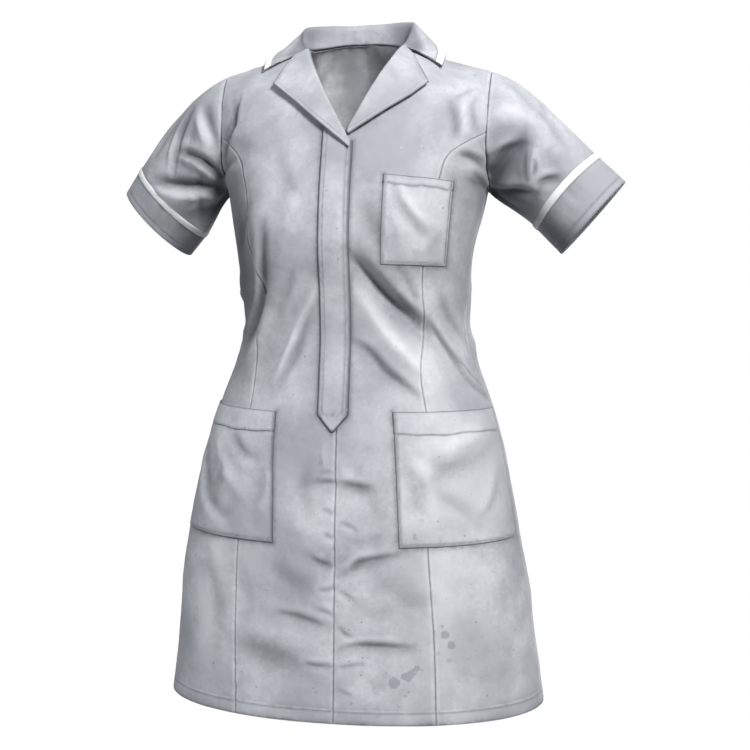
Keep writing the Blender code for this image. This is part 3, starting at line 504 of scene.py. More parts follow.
def mixColour(tree, factor, first, second):
    mix = node(tree, "ShaderNodeMix", data_type="RGBA")
    for place, value in ((0, factor), (6, first), (7, second)):
        feed(tree, value, mix.inputs[place])
    return mix.outputs[2]


def maths(tree, operation, *values):
    made = node(tree, "ShaderNodeMath", operation=operation)
    for socket, value in zip(made.inputs, values):
        feed(tree, value, socket)
    return made.outputs[0]


def between(tree, value, low, high, lowest=0.0, highest=1.0):
    made = node(tree, "ShaderNodeMapRange", interpolation_type="SMOOTHSTEP")
    for socket, given in zip(made.inputs, (value, low, high, lowest, highest)):
        feed(tree, given, socket)
    return made.outputs[0]


def noiseAt(tree, vector, scale, detail=3.0, roughness=0.55):
    made = node(tree, "ShaderNodeTexNoise", Vector=vector, Scale=scale, Detail=detail, Roughness=roughness)
    return made.outputs["Fac"]


def scaled(tree, vector, scale, turn=0.0):
    made = node(tree, "ShaderNodeMapping", Vector=vector, Scale=scale, Rotation=(0.0, 0.0, turn))
    return made.outputs[0]


def painted(tree, name, output="Fac"):          # what the sewing below leaves on the cloth
    return node(tree, "ShaderNodeAttribute", attribute_name=name).outputs[output]


def newFinish(name):
    material = bpy.data.materials.new(name)
    material.use_nodes = True
    tree = material.node_tree
    return material, tree, tree.nodes["Principled BSDF"]


def seenWhite(tree, lit, colour, output, kind):
    # lit as it is, but plain white where the camera looks straight at it
    plain = node(tree, kind, Color=colour)
    seen = tree.nodes.new("ShaderNodeLightPath").outputs["Is Camera Ray"]
    mix = tree.nodes.new("ShaderNodeMixShader")
    for socket, value in zip(mix.inputs, (seen, lit.outputs[0], plain.outputs[0])):
        tree.links.new(value, socket)
    tree.links.new(mix.outputs[0], tree.nodes[output].inputs[0])


clothLook = {
    "pale": (0.520, 0.535, 0.570, 1.0),
    "deep": (0.315, 0.327, 0.357, 1.0),
    # the inside is painted paler than the outside: painted light for the dress's inside
    "inner": (0.840, 0.842, 0.850, 1.0),
    "dirtAndShade": (0.060, 0.064, 0.075, 1.0),         # dirt in the seams, and painted shade in the creases and beside patches
    "grime": (0.030, 0.033, 0.044, 1.0),        # painted shade in the deep folds
    "worn": (0.780, 0.795, 0.830, 1.0),         # wear, and painted highlights on ridges beside the seams and folds
    "stain": (0.215, 0.225, 0.255, 1.0),
    "twill": 0.00055,                           # distance between the weave's ridges
    "specks": [
        # cells a metre, where a speck starts and ends in its cell, how many, colour, strength
        (60.0, 0.060, 0.130, 0.42, "stain", 0.66),
        (130.0, 0.060, 0.140, 0.28, "stain", 0.80),
        (75.0, 0.030, 0.075, 0.12, "worn", 0.60),
    ],
    "roughness": (0.74, 0.90),
    "sheen": 0.12,
}


def clothFinish(name, pale, marked=True):
    look = clothLook
    material, tree, shader = newFinish(name)
    place = tree.nodes.new("ShaderNodeTexCoord").outputs["Object"]
    grain = painted(tree, "grain", "Vector")

    # washed-out clouds, from hand-sized down to crumbs, and smudges
    clouds = noiseAt(tree, place, 7.0, 5.0, 0.60)
    blotches = noiseAt(tree, place, 30.0, 5.0, 0.66)
    crumbs = noiseAt(tree, place, 170.0, 4.0, 0.70)
    smudge = noiseAt(tree, place, 16.0, 6.0, 0.74)
    colour = mixColour(tree, between(tree, clouds, 0.36, 0.64), look["deep"], pale)
    colour = mixColour(tree, between(tree, blotches, 0.28, 0.60, 0.50, 1.0), look["deep"], colour)
    colour = mixColour(tree, between(tree, crumbs, 0.30, 0.60, 0.72, 1.0), look["deep"], colour)
    colour = mixColour(tree, between(tree, smudge, 0.56, 0.70, 0.0, 0.32), colour, look["stain"])
    # slubs: threads a little darker or lighter, along both ways of the weave
    for stretch in ((2600.0, 70.0, 1.0), (70.0, 2600.0, 1.0)):
        slub = noiseAt(tree, scaled(tree, grain, stretch), 1.0, 2.0)
        colour = mixColour(tree, between(tree, slub, 0.25, 0.75, 0.05, 0.0), colour, look["deep"])

    # painted shade in the folds, and painted highlights on the ridges
    colour = mixColour(tree, painted(tree, "grime"), colour, look["grime"])
    colour = mixColour(tree, painted(tree, "paintedHighlight"), colour, look["worn"])
    # dirt and painted shade, and wear and painted highlights, along the seams and folds, broken up by noise
    brokenUp = (("dirtAndShade", 160.0, (0.25, 0.65, 0.60, 1.0)), ("worn", 95.0, (0.35, 0.65, 0.35, 1.0)))
    for kind, scale, limits in brokenUp:
        patchy = between(tree, noiseAt(tree, place, scale, 3.0), *limits)
        colour = mixColour(tree, maths(tree, "MULTIPLY", painted(tree, kind), patchy), colour, look[kind])

    if marked:
        # stains with ragged edges
        stain = painted(tree, "stain")
        ragged = maths(tree, "SUBTRACT", noiseAt(tree, place, 120.0, 4.0, 0.7), 0.5)
        edge = maths(tree, "ADD", stain, maths(tree, "MULTIPLY", ragged, 0.9))
        shown = between(tree, edge, 0.34, 0.60, 0.0, 0.62)
        present = between(tree, stain, 0.02, 0.20)
        colour = mixColour(tree, maths(tree, "MULTIPLY", shown, present), colour, look["stain"])
        # dark specks, more of them low on the skirt, and pale lint
        height = node(tree, "ShaderNodeSeparateXYZ", Vector=place).outputs["Z"]
        for scale, low, high, most, tint, amount in look["specks"]:
            cells = node(tree, "ShaderNodeTexVoronoi", Vector=place, Scale=scale, Randomness=1.0)
            near = between(tree, cells.outputs["Distance"], low, high, 1.0, 0.0)
            chance = node(tree, "ShaderNodeSeparateColor", Color=cells.outputs["Color"])
            few = between(tree, height, -0.88, -0.35, most, 0.35 * most)
            chosen = maths(tree, "LESS_THAN", chance.outputs[0], few)
            speck = maths(tree, "MULTIPLY", maths(tree, "MULTIPLY", near, chosen), amount)
            colour = mixColour(tree, speck, colour, look[tint])

    # twill ridges, then small wrinkles
    twill = scaled(tree, grain, (1.0 / look["twill"],) * 3, math.radians(62.0))
    weave = node(tree, "ShaderNodeTexWave", Vector=twill, Scale=0.159, Distortion=0.6, Detail=1.0)
    fine = node(tree, "ShaderNodeBump", Strength=0.18, Distance=0.00012, Height=weave.outputs["Fac"])
    wrinkle = node(tree, "ShaderNodeBump", Strength=0.40, Distance=0.0012,
                   Height=noiseAt(tree, place, 70.0, 4.0, 0.5), Normal=fine.outputs[0])
    fit(tree, shader, Base_Color=colour, Roughness=between(tree, blotches, 0.25, 0.75, *look["roughness"]),
        Sheen_Weight=look["sheen"], Sheen_Roughness=0.45, Specular_IOR_Level=0.30, Normal=wrinkle.outputs[0])
    return material


tapeLook = {
    "white": (0.800, 0.803, 0.812, 1.0),
    "grey": (0.640, 0.650, 0.680, 1.0),
    "rib": 0.0011,
}


def tapeFinish(name):
    look = tapeLook
    material, tree, shader = newFinish(name)
    place = tree.nodes.new("ShaderNodeTexCoord").outputs["Object"]
    used = between(tree, noiseAt(tree, place, 60.0, 4.0), 0.30, 0.50, 0.80, 1.0)
    colour = mixColour(tree, used, look["grey"], look["white"])
    colour = mixColour(tree, painted(tree, "dirtAndShade"), colour, clothLook["dirtAndShade"])
    woven = scaled(tree, painted(tree, "grain", "Vector"), (1.0 / look["rib"],) * 3)
    ribs = node(tree, "ShaderNodeTexWave", Vector=woven, Scale=0.159, Distortion=0.3)
    bump = node(tree, "ShaderNodeBump", Strength=0.35, Distance=0.0002, Height=ribs.outputs["Fac"])
    fit(tree, shader, Base_Color=colour, Roughness=0.78, Sheen_Weight=0.20, Specular_IOR_Level=0.30,
        Normal=bump.outputs[0])
    return material


def threadFinish(name, colour):
    material, tree, shader = newFinish(name)
    place = tree.nodes.new("ShaderNodeTexCoord").outputs["Object"]
    dark = tuple(0.72 * c for c in colour[:3]) + (1.0,)
    uneven = mixColour(tree, noiseAt(tree, place, 400.0, 2.0), dark, colour)
    fit(tree, shader, Base_Color=uneven, Roughness=0.55, Sheen_Weight=0.30)
    return material


dressCloth = clothFinish("dress_cloth_worn", clothLook["pale"])
# the inside's finish is painted paler than the outside: painted light
litInsideCloth = clothFinish("dress_cloth_inside", clothLook["inner"], marked=False)
whiteTape = tapeFinish("white_woven_tape")
greyThread = threadFinish("grey_thread", (0.50, 0.52, 0.57, 1.0))
print("dress: finishes made")


# sewing: sheets, edges and stitches

sewing = {
    "cloth": 0.0007,                # thickness of one cloth
    "doubleCloth": 0.0013,
    "step": 0.0028,                 # distance between rows and columns
    "seamRows": (0.0006, 0.0014, 0.0026),
    "seamSink": 0.0012, "seamWidth": 0.0010,
    "pucker": 0.00096, "puckerReach": 0.0080, "puckerLength": 0.0110,
    "edgeSink": 0.0007, "edgeWidth": 0.0009,
    "foldSoil": 0.58, "foldWorn": 0.26, "foldDepth": 0.0045,        # painted shade in the troughs and painted highlights on the ridges
    "waistShade": ((1.0, 0.34), (-1.0, 0.66)),      # side, how much painted shade darkens the waist there
    "stitchSink": 0.00045, "stitchWidth": 0.0009,
    "stitchPitch": 0.0029, "stitchLength": 0.0022, "stitchRadius": 0.00024,
}


def crossing(grid, closed=False):       # square to the cloth, one way or the other
    if closed:
        over = np.roll(grid, -1, axis=1) - np.roll(grid, 1, axis=1)
    else:
        over = np.gradient(grid, axis=1)
    return unit(np.cross(over, np.gradient(grid, axis=0)))


def fromEdges(grid):
    # distance of each point from the first and last row and the first and last column
    down = np.linalg.norm(np.diff(grid, axis=0), axis=-1)
    over = np.linalg.norm(np.diff(grid, axis=1), axis=-1)
    down = np.concatenate([np.zeros((1, grid.shape[1])), np.cumsum(down, axis=0)])
    over = np.concatenate([np.zeros((grid.shape[0], 1)), np.cumsum(over, axis=1)], axis=1)
    return {"bottom": down, "top": down[-1:] - down, "first": over, "last": over[:, -1:] - over}


def sheetOf(grid, centre, closed=False, fine=0.0, grime=0.0):
    # a piece of cloth: its points, the way out, and what is done to it before it is cut
    normal = crossing(grid, closed)
    outward = bool(np.sum(normal * (grid - centre)) > 0)
    blank = np.zeros(grid.shape[:2])
    # painted shade in the fold troughs and painted highlights on the fold ridges
    dirtAndShade = sewing["foldSoil"] * (1.0 - np.exp(np.minimum(fine, 0.0) / sewing["foldDepth"]))
    worn = sewing["foldWorn"] * (1.0 - np.exp(-np.maximum(fine, 0.0) / sewing["foldDepth"]))
    return {"grid": grid, "normal": normal if outward else -normal, "outward": outward,
            "gaps": fromEdges(grid), "closed": closed, "dirtAndShade": dirtAndShade + blank, "worn": worn + blank,
            "grime": grime + blank, "stain": blank + 0.0, "lift": blank + 0.0}


def atLeast(sheet, key, amount):        # where two marks meet the stronger one shows
    sheet[key] = np.maximum(sheet[key], amount)


def bell(distance, width):
    return np.exp(-(distance / width) ** 2)


def seam(sheet, gap, dark=0.56, light=0.24, sink=1.0):
    # the edge of a piece where it is sewn to the next: drawn in, puckered, darker in the groove, with a
    # painted highlight on the ridge beside it
    s = sewing
    wave = unevenness(sheet["grid"], s["puckerLength"])
    sheet["lift"] -= sink * s["seamSink"] * bell(gap, s["seamWidth"])
    sheet["lift"] += s["pucker"] * wave * np.exp(-gap / s["puckerReach"])
    atLeast(sheet, "dirtAndShade", dark * bell(gap, 0.0013))
    atLeast(sheet, "worn", light * bell(gap - 0.0028, 0.0013))


def turnedEdge(sheet, gap, dark=0.55, wide=0.0010):
    # a free edge, turned under and pressed, with painted shade in a dark line along it and a painted
    # highlight just inside
    sheet["lift"] -= sewing["edgeSink"] * bell(gap, sewing["edgeWidth"])
    atLeast(sheet, "grime", dark / (1.0 + np.exp((gap - 0.8 * wide) / (0.16 * wide))))
    atLeast(sheet, "worn", 0.24 * bell(gap - 1.6 * wide - 0.0012, 0.0010))


def stitchGroove(sheet, distance, share=1.0, dark=0.50):
    # distance is how far each point is from the line of stitches
    sheet["lift"] -= share * sewing["stitchSink"] * bell(distance, sewing["stitchWidth"])
    atLeast(sheet, "dirtAndShade", share * dark * bell(distance, 0.0011))


patchEdges = []         # lines on the trunk along which a pocket or the placket is sewn


def patchShade(sheet):
    # painted shade on the cloth beside a patch's edge
    flat = sheet["grid"].reshape(-1, 3)
    shade = np.zeros(len(flat))
    for line, strength in patchEdges:
        where, size, _, _, _ = nearLine(flat, line, 0.030)
        near = strength * (0.42 * bell(size, 0.0036) + 0.28 * np.exp(-size / 0.0085))
        shade[where] = np.maximum(shade[where], near)
    sheet["dirtAndShade"] = 1.0 - (1.0 - sheet["dirtAndShade"]) * (1.0 - shade.reshape(sheet["dirtAndShade"].shape))


def underarm(sheet, waist=()):
    # painted shade towards the armpits, and at the sides of the waist
    grid = sheet["grid"]
    shades = []
    for side in (-1.0, 1.0):
        armpit = np.array([side * 0.196, 0.0, -0.190])
        away = np.linalg.norm((grid - armpit) / np.array([1.0, 1.4, 1.0]), axis=-1)
        shades.append(0.44 * bell(away, 0.052) + 0.12 * bell(away, 0.110))
    for side, amount in waist:
        atSide = ease((side * grid[..., 0] - 0.108) / 0.045)
        shades.append(amount * atSide * bell(grid[..., 2] + 0.300, 0.140))
    for shade in shades:
        sheet["grime"] = sheet["grime"] + shade * (1.0 - np.clip(sheet["grime"], 0.0, 1.0))


def putIn(name, data):
    thing = bpy.data.objects.new(name, data)
    bpy.context.scene.collection.objects.link(thing)
    return thing


def cutAndSew(name, sheet, thickness, finish, inner=None):
    sheet["grid"] = sheet["grid"] + sheet["normal"] * sheet["lift"][..., None]
    grid, gaps = sheet["grid"], sheet["gaps"]
    rows, columns = grid.shape[:2]
    index = np.arange(rows * columns).reshape(rows, columns)
    if sheet["closed"]:
        index = np.concatenate([index, index[:, :1]], axis=1)
    quads = np.stack([index[:-1, :-1], index[:-1, 1:], index[1:, 1:], index[1:, :-1]], axis=-1)
    quads = quads.reshape(-1, 4)
    if not sheet["outward"]:
        quads = quads[:, ::-1]
    mesh = bpy.data.meshes.new(name + "_cloth")
    mesh.from_pydata(grid.reshape(-1, 3).tolist(), [], quads.tolist())
    mesh.shade_smooth()
    # painted shade (the positive part) and painted highlights (the negative part) go to the cloth as two
    # layers
    sheet["paintedHighlight"] = -sheet["grime"]
    for key in ("dirtAndShade", "worn", "stain", "grime", "paintedHighlight"):
        layer = mesh.attributes.new(key, "FLOAT", "POINT")
        layer.data.foreach_set("value", np.clip(sheet[key], 0.0, 0.96).ravel())
    grain = np.stack([gaps["first"], gaps["bottom"], 0.0 * gaps["first"]], axis=-1)
    layer = mesh.attributes.new("grain", "FLOAT_VECTOR", "POINT")
    layer.data.foreach_set("vector", grain.ravel())
    piece = putIn(name + "_cloth", mesh)
    mesh.materials.append(finish)
    wall = piece.modifiers.new("Cloth thickness", "SOLIDIFY")
    wall.thickness = thickness
    wall.offset = 0.0
    if inner is not None:
        mesh.materials.append(inner)
        wall.material_offset = 1
    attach(piece, "root")
    return piece


def stitchRun(name, runs, lift):
    # real stitches along each run of points: small bent threads with their ends in the cloth
    s = sewing
    corners, faces, base = [], [], 0
    for points, normals in runs:
        at = np.concatenate([[0.0], np.cumsum(np.linalg.norm(np.diff(points, axis=0), axis=1))])
        count = int(at[-1] / s["stitchPitch"])
        if count < 1:
            continue
        rings = []
        for shareAt, up, wide in ((0.0, -0.5, 0.45), (0.22, 0.55, 1.0), (0.78, 0.55, 1.0), (1.0, -0.5, 0.45)):
            here = (np.arange(count) + 0.3) * s["stitchPitch"] + shareAt * s["stitchLength"]
            spot, ahead, behind = (spotAlong(here + step, at, points) for step in (0.0, 0.001, -0.001))
            out = unit(spotAlong(here, at, normals))
            across = unit(np.cross(out, ahead - behind))
            middle = spot + out * (lift + up * s["stitchRadius"])
            size = wide * s["stitchRadius"]
            rings.append(np.stack([middle + way * size for way in (out, across, -out, -across)], axis=1))
        corners.append(np.stack(rings, axis=1).reshape(-1, 3))
        first = base + np.arange(count)[:, None] * 16
        base += 16 * count
        for ring in (0, 4, 8):
            for k in range(4):
                a, b = ring + k, ring + (k + 1) % 4
                faces.append(np.concatenate([first + a, first + b, first + b + 4, first + a + 4], axis=1))
        faces.append(np.concatenate([first + k for k in (3, 2, 1, 0)], axis=1))
        faces.append(np.concatenate([first + k for k in (12, 13, 14, 15)], axis=1))
    mesh = bpy.data.meshes.new(name)
    mesh.from_pydata(np.concatenate(corners).tolist(), [], np.concatenate(faces).tolist())
    mesh.shade_smooth()
    mesh.materials.append(greyThread)
    piece = putIn(name, mesh)
    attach(piece, "root")
    return piece


def spotAlong(here, at, points):
    return np.stack([np.interp(here, at, points[:, k]) for k in range(3)], axis=-1)


def sewDown(piece, runs=(), lift=0.0004):
    # its stitches, and the solid it takes the place of, which is hidden
    name = piece.name.replace("_cloth", "")
    stitches = [stitchRun("stitches_" + name, runs, lift)] if runs else []
    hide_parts(name)


def rowRun(sheet, gapName, distance, start=0.0, end=0.0):
    # the points of a sheet at one distance from an edge, as a run for stitches
    gap = sheet["gaps"][gapName]
    if gapName in ("bottom", "top"):
        row = int(np.abs(gap.mean(axis=1) - distance).argmin())
        line, out = sheet["grid"][row], sheet["normal"][row]
    else:
        column = int(np.abs(gap.mean(axis=0) - distance).argmin())
        line, out = sheet["grid"][:, column], sheet["normal"][:, column]
    done = np.concatenate([[0.0], np.cumsum(np.linalg.norm(np.diff(line, axis=0), axis=1))])
    keep = (done >= start) & (done <= done[-1] - end)
    return line[keep], out[keep]


def bodyCentre(grid):       # the middle of the body level with each point
    middle = np.zeros(grid.shape)
    middle[..., 2] = grid[..., 2] - 0.02
    return middle


# patch pockets

pockets = {
    "chest": {
        "cut": (0.101, 0.138), "hem": 0.0125, "mouth": 0.0016, "puff": 0.0022, "faded": 0.10,
        "corners": [(0.0589, -0.1753), (0.1489, -0.1839), (0.1385, -0.2993), (0.0565, -0.2948)],
        "creases": [
            (0.0065, -0.0024, 0.5, [(0.12, 0.92), (0.22, 0.70), (0.42, 0.50), (0.66, 0.30)]),
            (0.0090, 0.0020, 0.0, [(0.20, 0.95), (0.34, 0.72), (0.60, 0.52), (0.85, 0.42)]),
            (0.0060, -0.0014, 0.4, [(0.70, 0.10), (0.82, 0.28), (0.94, 0.40)]),
            (0.0050, -0.0010, 0.4, [(0.06, 0.55), (0.16, 0.42), (0.24, 0.22)]),
        ],
    },
    "left": {
        "cut": (0.203, 0.200), "hem": 0.0310, "mouth": 0.0022, "puff": 0.0040, "faded": 0.34,
        "bulge": 1.06, "cutCorner": 0.014,
        "corners": [(30.0, -0.4905), (87.0, -0.4935), (84.5, -0.6700), (31.3, -0.6715)],
        "creases": [
            (0.0100, -0.0022, 0.4, [(0.06, 0.62), (0.16, 0.44), (0.18, 0.22)]),
            (0.0120, -0.0020, 0.4, [(0.16, 0.40), (0.36, 0.52), (0.60, 0.60), (0.84, 0.76)]),
            (0.0130, 0.0024, 0.0, [(0.30, 0.66), (0.50, 0.76), (0.74, 0.82)]),
            (0.0080, -0.0016, 0.4, [(0.62, 0.16), (0.74, 0.30), (0.82, 0.48)]),
            (0.0090, 0.0016, 0.0, [(0.54, 0.12), (0.70, 0.36), (0.76, 0.56)]),
        ],
    },
    "right": {
        "cut": (0.203, 0.200), "hem": 0.0290, "mouth": 0.0022, "puff": 0.0040, "faded": 0.0,
        "bulge": 1.06,
        "corners": [(34.6, -0.4930), (87.5, -0.4915), (85.0, -0.6700), (31.4, -0.6705)],
        "creases": [
            (0.0100, -0.0026, 0.5, [(0.86, 0.74), (0.70, 0.50), (0.62, 0.30), (0.40, 0.12)]),
            (0.0110, 0.0024, 0.0, [(0.62, 0.76), (0.42, 0.48), (0.24, 0.30)]),
            (0.0080, -0.0018, 0.4, [(0.46, 0.80), (0.28, 0.66), (0.12, 0.62)]),
            (0.0070, -0.0014, 0.4, [(0.20, 0.24), (0.12, 0.40), (0.10, 0.58)]),
        ],
    },
}


# placket

placketForm = {
    "cut": (0.0445, 0.415),
    "rightSide": -0.0265, "leftSide": 0.0160,
    "pointHeight": -0.520, "shoulderHeight": -0.4955,
    "topRight": -0.108, "topLeft": -0.132,
    "lift": 0.0019, "crown": 0.0006, "drag": 0.00035, "dragSize": 0.016,
    "stitches": (0.0060, 0.0360, 0.0395),       # distances from its right edge
}


def pocketAngle(kind, across, height):
    # the chest pocket is laid out by distance from the middle, the hip pockets by degrees
    if kind == "chest":
        return angleAt(across, height)
    return (-1 if kind == "right" else 1) * np.radians(across)


def tracePatches():
    p = placketForm
    foot = (0.5 * (p["rightSide"] + p["leftSide"]), p["pointHeight"])
    for side, top, strength in ((p["rightSide"], p["topRight"], 1.0), (p["leftSide"], p["topLeft"], 0.8)):
        corners = np.array([(side, top), (side, p["shoulderHeight"]), foot])
        across, height = (np.interp(np.linspace(0, 2, 61), range(3), corners[:, c]) for c in range(2))
        patchEdges.append((plainTrunk(angleAt(across, height), height), strength))
    for kind, pocket in pockets.items():
        corners = np.array(pocket["corners"])[[0, 3, 2, 1]]
        across, height = (np.interp(np.linspace(0, 3, 91), range(4), corners[:, c]) for c in range(2))
        patchEdges.append((plainTrunk(pocketAngle(kind, across, height), height), 0.9))


tracePatches()


# trunk panels: the hem is turned up inside

hem = {
    "turned": 0.0160,               # depth of the hem, where it is stitched
    "gap": 0.0013,                  # from the cloth to the turned-up part
    "levels": 0.030,                # rows keep level up to here
    "marks": [
        # stains on the skirt: angle, height, size, strength
        (28.4, -0.851, 0.0085, 1.00), (32.6, -0.842, 0.0055, 0.90), (35.4, -0.838, 0.0065, 0.95),
        (34.4, -0.846, 0.0048, 0.80), (37.9, -0.831, 0.0050, 0.85), (39.6, -0.834, 0.0036, 0.70),
        (25.0, -0.838, 0.0040, 0.60), (31.2, -0.829, 0.0036, 0.60), (33.0, -0.868, 0.0034, 0.70),
        (29.5, -0.872, 0.0028, 0.60), (27.5, -0.862, 0.0030, 0.50), (41.0, -0.846, 0.0034, 0.55),
        (48.5, -0.788, 0.0075, 0.90), (50.5, -0.802, 0.0080, 0.75), (47.6, -0.776, 0.0045, 0.70),
        (53.0, -0.790, 0.0035, 0.60), (44.8, -0.784, 0.0048, 0.60), (45.8, -0.812, 0.0050, 0.55),
        (49.8, -0.822, 0.0070, 0.60), (37.0, -0.800, 0.0110, 0.42), (42.0, -0.800, 0.0060, 0.45),
        (57.0, -0.796, 0.0030, 0.45), (55.0, -0.778, 0.0026, 0.45),
        (-9.0, -0.580, 0.0090, 0.55), (-8.0, -0.560, 0.0080, 0.50), (-10.5, -0.604, 0.0060, 0.45),
        (-3.0, -0.600, 0.0070, 0.35), (5.0, -0.615, 0.0090, 0.38), (12.0, -0.590, 0.0080, 0.40),
        (9.0, -0.880, 0.0055, 0.55), (-8.5, -0.868, 0.0045, 0.70), (-9.8, -0.862, 0.0035, 0.60),
        (-37.0, -0.870, 0.0100, 0.40), (1.5, -0.892, 0.0100, 0.45), (-18.0, -0.884, 0.0080, 0.40),
        (58.0, -0.850, 0.0120, 0.32), (66.0, -0.740, 0.0100, 0.34), (38.0, -0.655, 0.0120, 0.45),
        (41.0, -0.635, 0.0100, 0.42), (34.5, -0.662, 0.0060, 0.50), (20.0, -0.640, 0.0120, 0.34),
        (26.0, -0.690, 0.0050, 0.40), (-26.0, -0.690, 0.0080, 0.34), (-24.0, -0.744, 0.0030, 0.70),
        (12.0, -0.155, 0.0045, 0.45), (14.0, -0.165, 0.0040, 0.42), (13.0, -0.178, 0.0045, 0.45),
        (19.0, -0.170, 0.0030, 0.40), (-16.0, -0.330, 0.0100, 0.28), (-21.0, -0.300, 0.0070, 0.25),
        (150.0, -0.820, 0.0120, 0.40), (200.0, -0.700, 0.0110, 0.34), (225.0, -0.860, 0.0100, 0.40),
        (172.0, -0.880, 0.0090, 0.45), (186.0, -0.610, 0.0120, 0.30), (163.0, -0.842, 0.0060, 0.60),
        (158.0, -0.850, 0.0040, 0.55), (212.0, -0.790, 0.0050, 0.50),
    ],
}


def skirtRows(top, step=sewing["step"]):
    # the hem's rows: how far above its edge, how far inside; then how many rows are left to the top
    deep, gap = hem["turned"], hem["gap"]
    near = [deep - 0.0011, deep, deep + 0.0011, hem["levels"]]
    rows = [(deep, gap), (0.0110, gap), (0.0060, gap), (0.0022, gap), (0.0006, 0.0011), (0.0000, 0.0006),
            (0.0005, 0.0001), (0.0015, 0.0), (0.0030, 0.0)]
    rows += [(d, 0.0) for d in spacing(hem["levels"], sewing["step"], near) if d > 0.0045]
    rows = np.array(rows)
    count = int(round((top - trunkForm["hemHeight"] - hem["levels"]) / step))
    return rows[:, :1], rows[:, 1:], count


def levelRows(top, step=sewing["step"]):
    # for a panel whose rows all run level: their heights, and how far inside each lies
    low, inset, count = skirtRows(top, step)
    foot = trunkForm["hemHeight"]
    shares = np.linspace(0.0, 1.0, count + 1)[1:, None]
    return (np.concatenate([foot + low, along(foot + hem["levels"], top, shares)]),
            np.concatenate([inset, 0.0 * shares]))


def hemMarks(sheet, height):
    for degrees, level, size, strength in hem["marks"]:
        spot = plainTrunk(np.array(math.radians(degrees)), np.array(level))
        away = np.linalg.norm(sheet["grid"] - spot, axis=-1)
        atLeast(sheet, "stain", strength * bell(away, size))
    # the hem's edge is the dirtiest
    low = np.clip(1.0 - (height - trunkForm["hemHeight"]) / 0.05, 0.0, 1.0)
    atLeast(sheet, "stain", 0.30 * low**2)


def hemStitch(sheet, height, inset):
    above, deep = height - trunkForm["hemHeight"], hem["turned"]
    outside = inset <= 0.0
    edge = np.where(outside, above, 0.0)
    stitchGroove(sheet, np.where(outside, above - deep, 1.0), dark=0.62)
    patchy = np.clip(0.5 + 1.3 * unevenness(sheet["grid"], 0.045), 0.0, 1.0)
    dirt = 0.70 * bell(edge, 0.0016) + (0.14 + 0.46 * patchy) * bell(edge, 0.0060)
    dirt += (0.10 + 0.30 * patchy) * bell(np.maximum(edge - deep, 0.0), 0.006) * (edge >= deep)
    atLeast(sheet, "dirtAndShade", np.clip(dirt, 0.0, 0.88) * outside)
    atLeast(sheet, "worn", 0.30 * bell(edge - deep - 0.003, 0.0014) * outside)
    sheet["lift"] += 0.00035 * (outside & (above < deep))


def finishPanel(name, sheet, height, inset):
    hemStitch(sheet, height, inset)
    hemMarks(sheet, height)
    if name != "back":
        patchShade(sheet)
    underarm(sheet, sewing["waistShade"])
    piece = cutAndSew(name, sheet, sewing["cloth"], dressCloth, litInsideCloth)
    above = np.where(inset[:, 0] <= 0.0, height[:, 0] - trunkForm["hemHeight"], 1.0)
    row = int(np.abs(above - hem["turned"]).argmin())
    hemRun = (sheet["grid"][row], sheet["normal"][row])
    sewDown(piece, [hemRun])


frontPanel = {"cut": (0.215, 0.985), "area": 0.136, "width": 0.135, "upper": 0.150, "upperRows": 44}


def frontGrid(side):
    f, p = trunkForm, frontPanel
    height, inset = levelRows(f["yokeHeight"])
    columns = spacing(p["width"], sewing["step"], bothEnds(p["width"], sewing["seamRows"])) / p["width"]
    angle = along(angleAt(closingSide(height), height), princessAngle(height, side), columns)

    # above the yoke the rows fan out from the neck opening to the shoulder seam
    tall = p["upper"]
    share = spacing(tall, tall / p["upperRows"], [tall - 0.0006, tall - 0.0016])[1:, None] / tall
    innerSide = along(f["closingSide"], side * f["neckSide"], rise(share))
    innerHeight = along(f["yokeHeight"], f["neckHeight"], rise(share))
    outerSide = side * along(f["armholeSide"], f["tipSide"], rise(share))
    outerHeight = along(f["yokeHeight"], f["tipHeight"], rise(share))
    heightUp = along(innerHeight, outerHeight, columns)
    even = along(angleAt(innerSide, innerHeight), angleAt(outerSide, outerHeight), columns)
    angleUp = along(even, angleAt(along(innerSide, outerSide, columns), heightUp), ease(share))
    return (np.concatenate([angle, angleUp]), np.concatenate([height + 0.0 * columns, heightUp]),
            np.concatenate([inset + 0.0 * columns, 0.0 * heightUp]))


def makeFront(side, label):
    angle, height, inset = frontGrid(side)
    grid, fine, grime = trunk(angle, height, -inset)
    sheet = sheetOf(grid, bodyCentre(grid), fine=fine, grime=grime)
    gaps = sheet["gaps"]
    seam(sheet, np.where(inset <= 0, gaps["first"], 1.0), dark=0.65)
    outer = np.where(inset <= 0, gaps["last"], 1.0)
    atArm = height > trunkForm["yokeHeight"]
    seam(sheet, np.where(atArm, 1.0, outer))
    seam(sheet, np.where(atArm, outer, 1.0), dark=0.26, sink=0.7)
    seam(sheet, gaps["top"], dark=0.45)
    finishPanel("front_" + label, sheet, height, inset)


sidePanel = {"cut": (0.200, 0.870), "area": 0.112, "width": 0.150, "upper": 0.76, "armholeReach": 9}


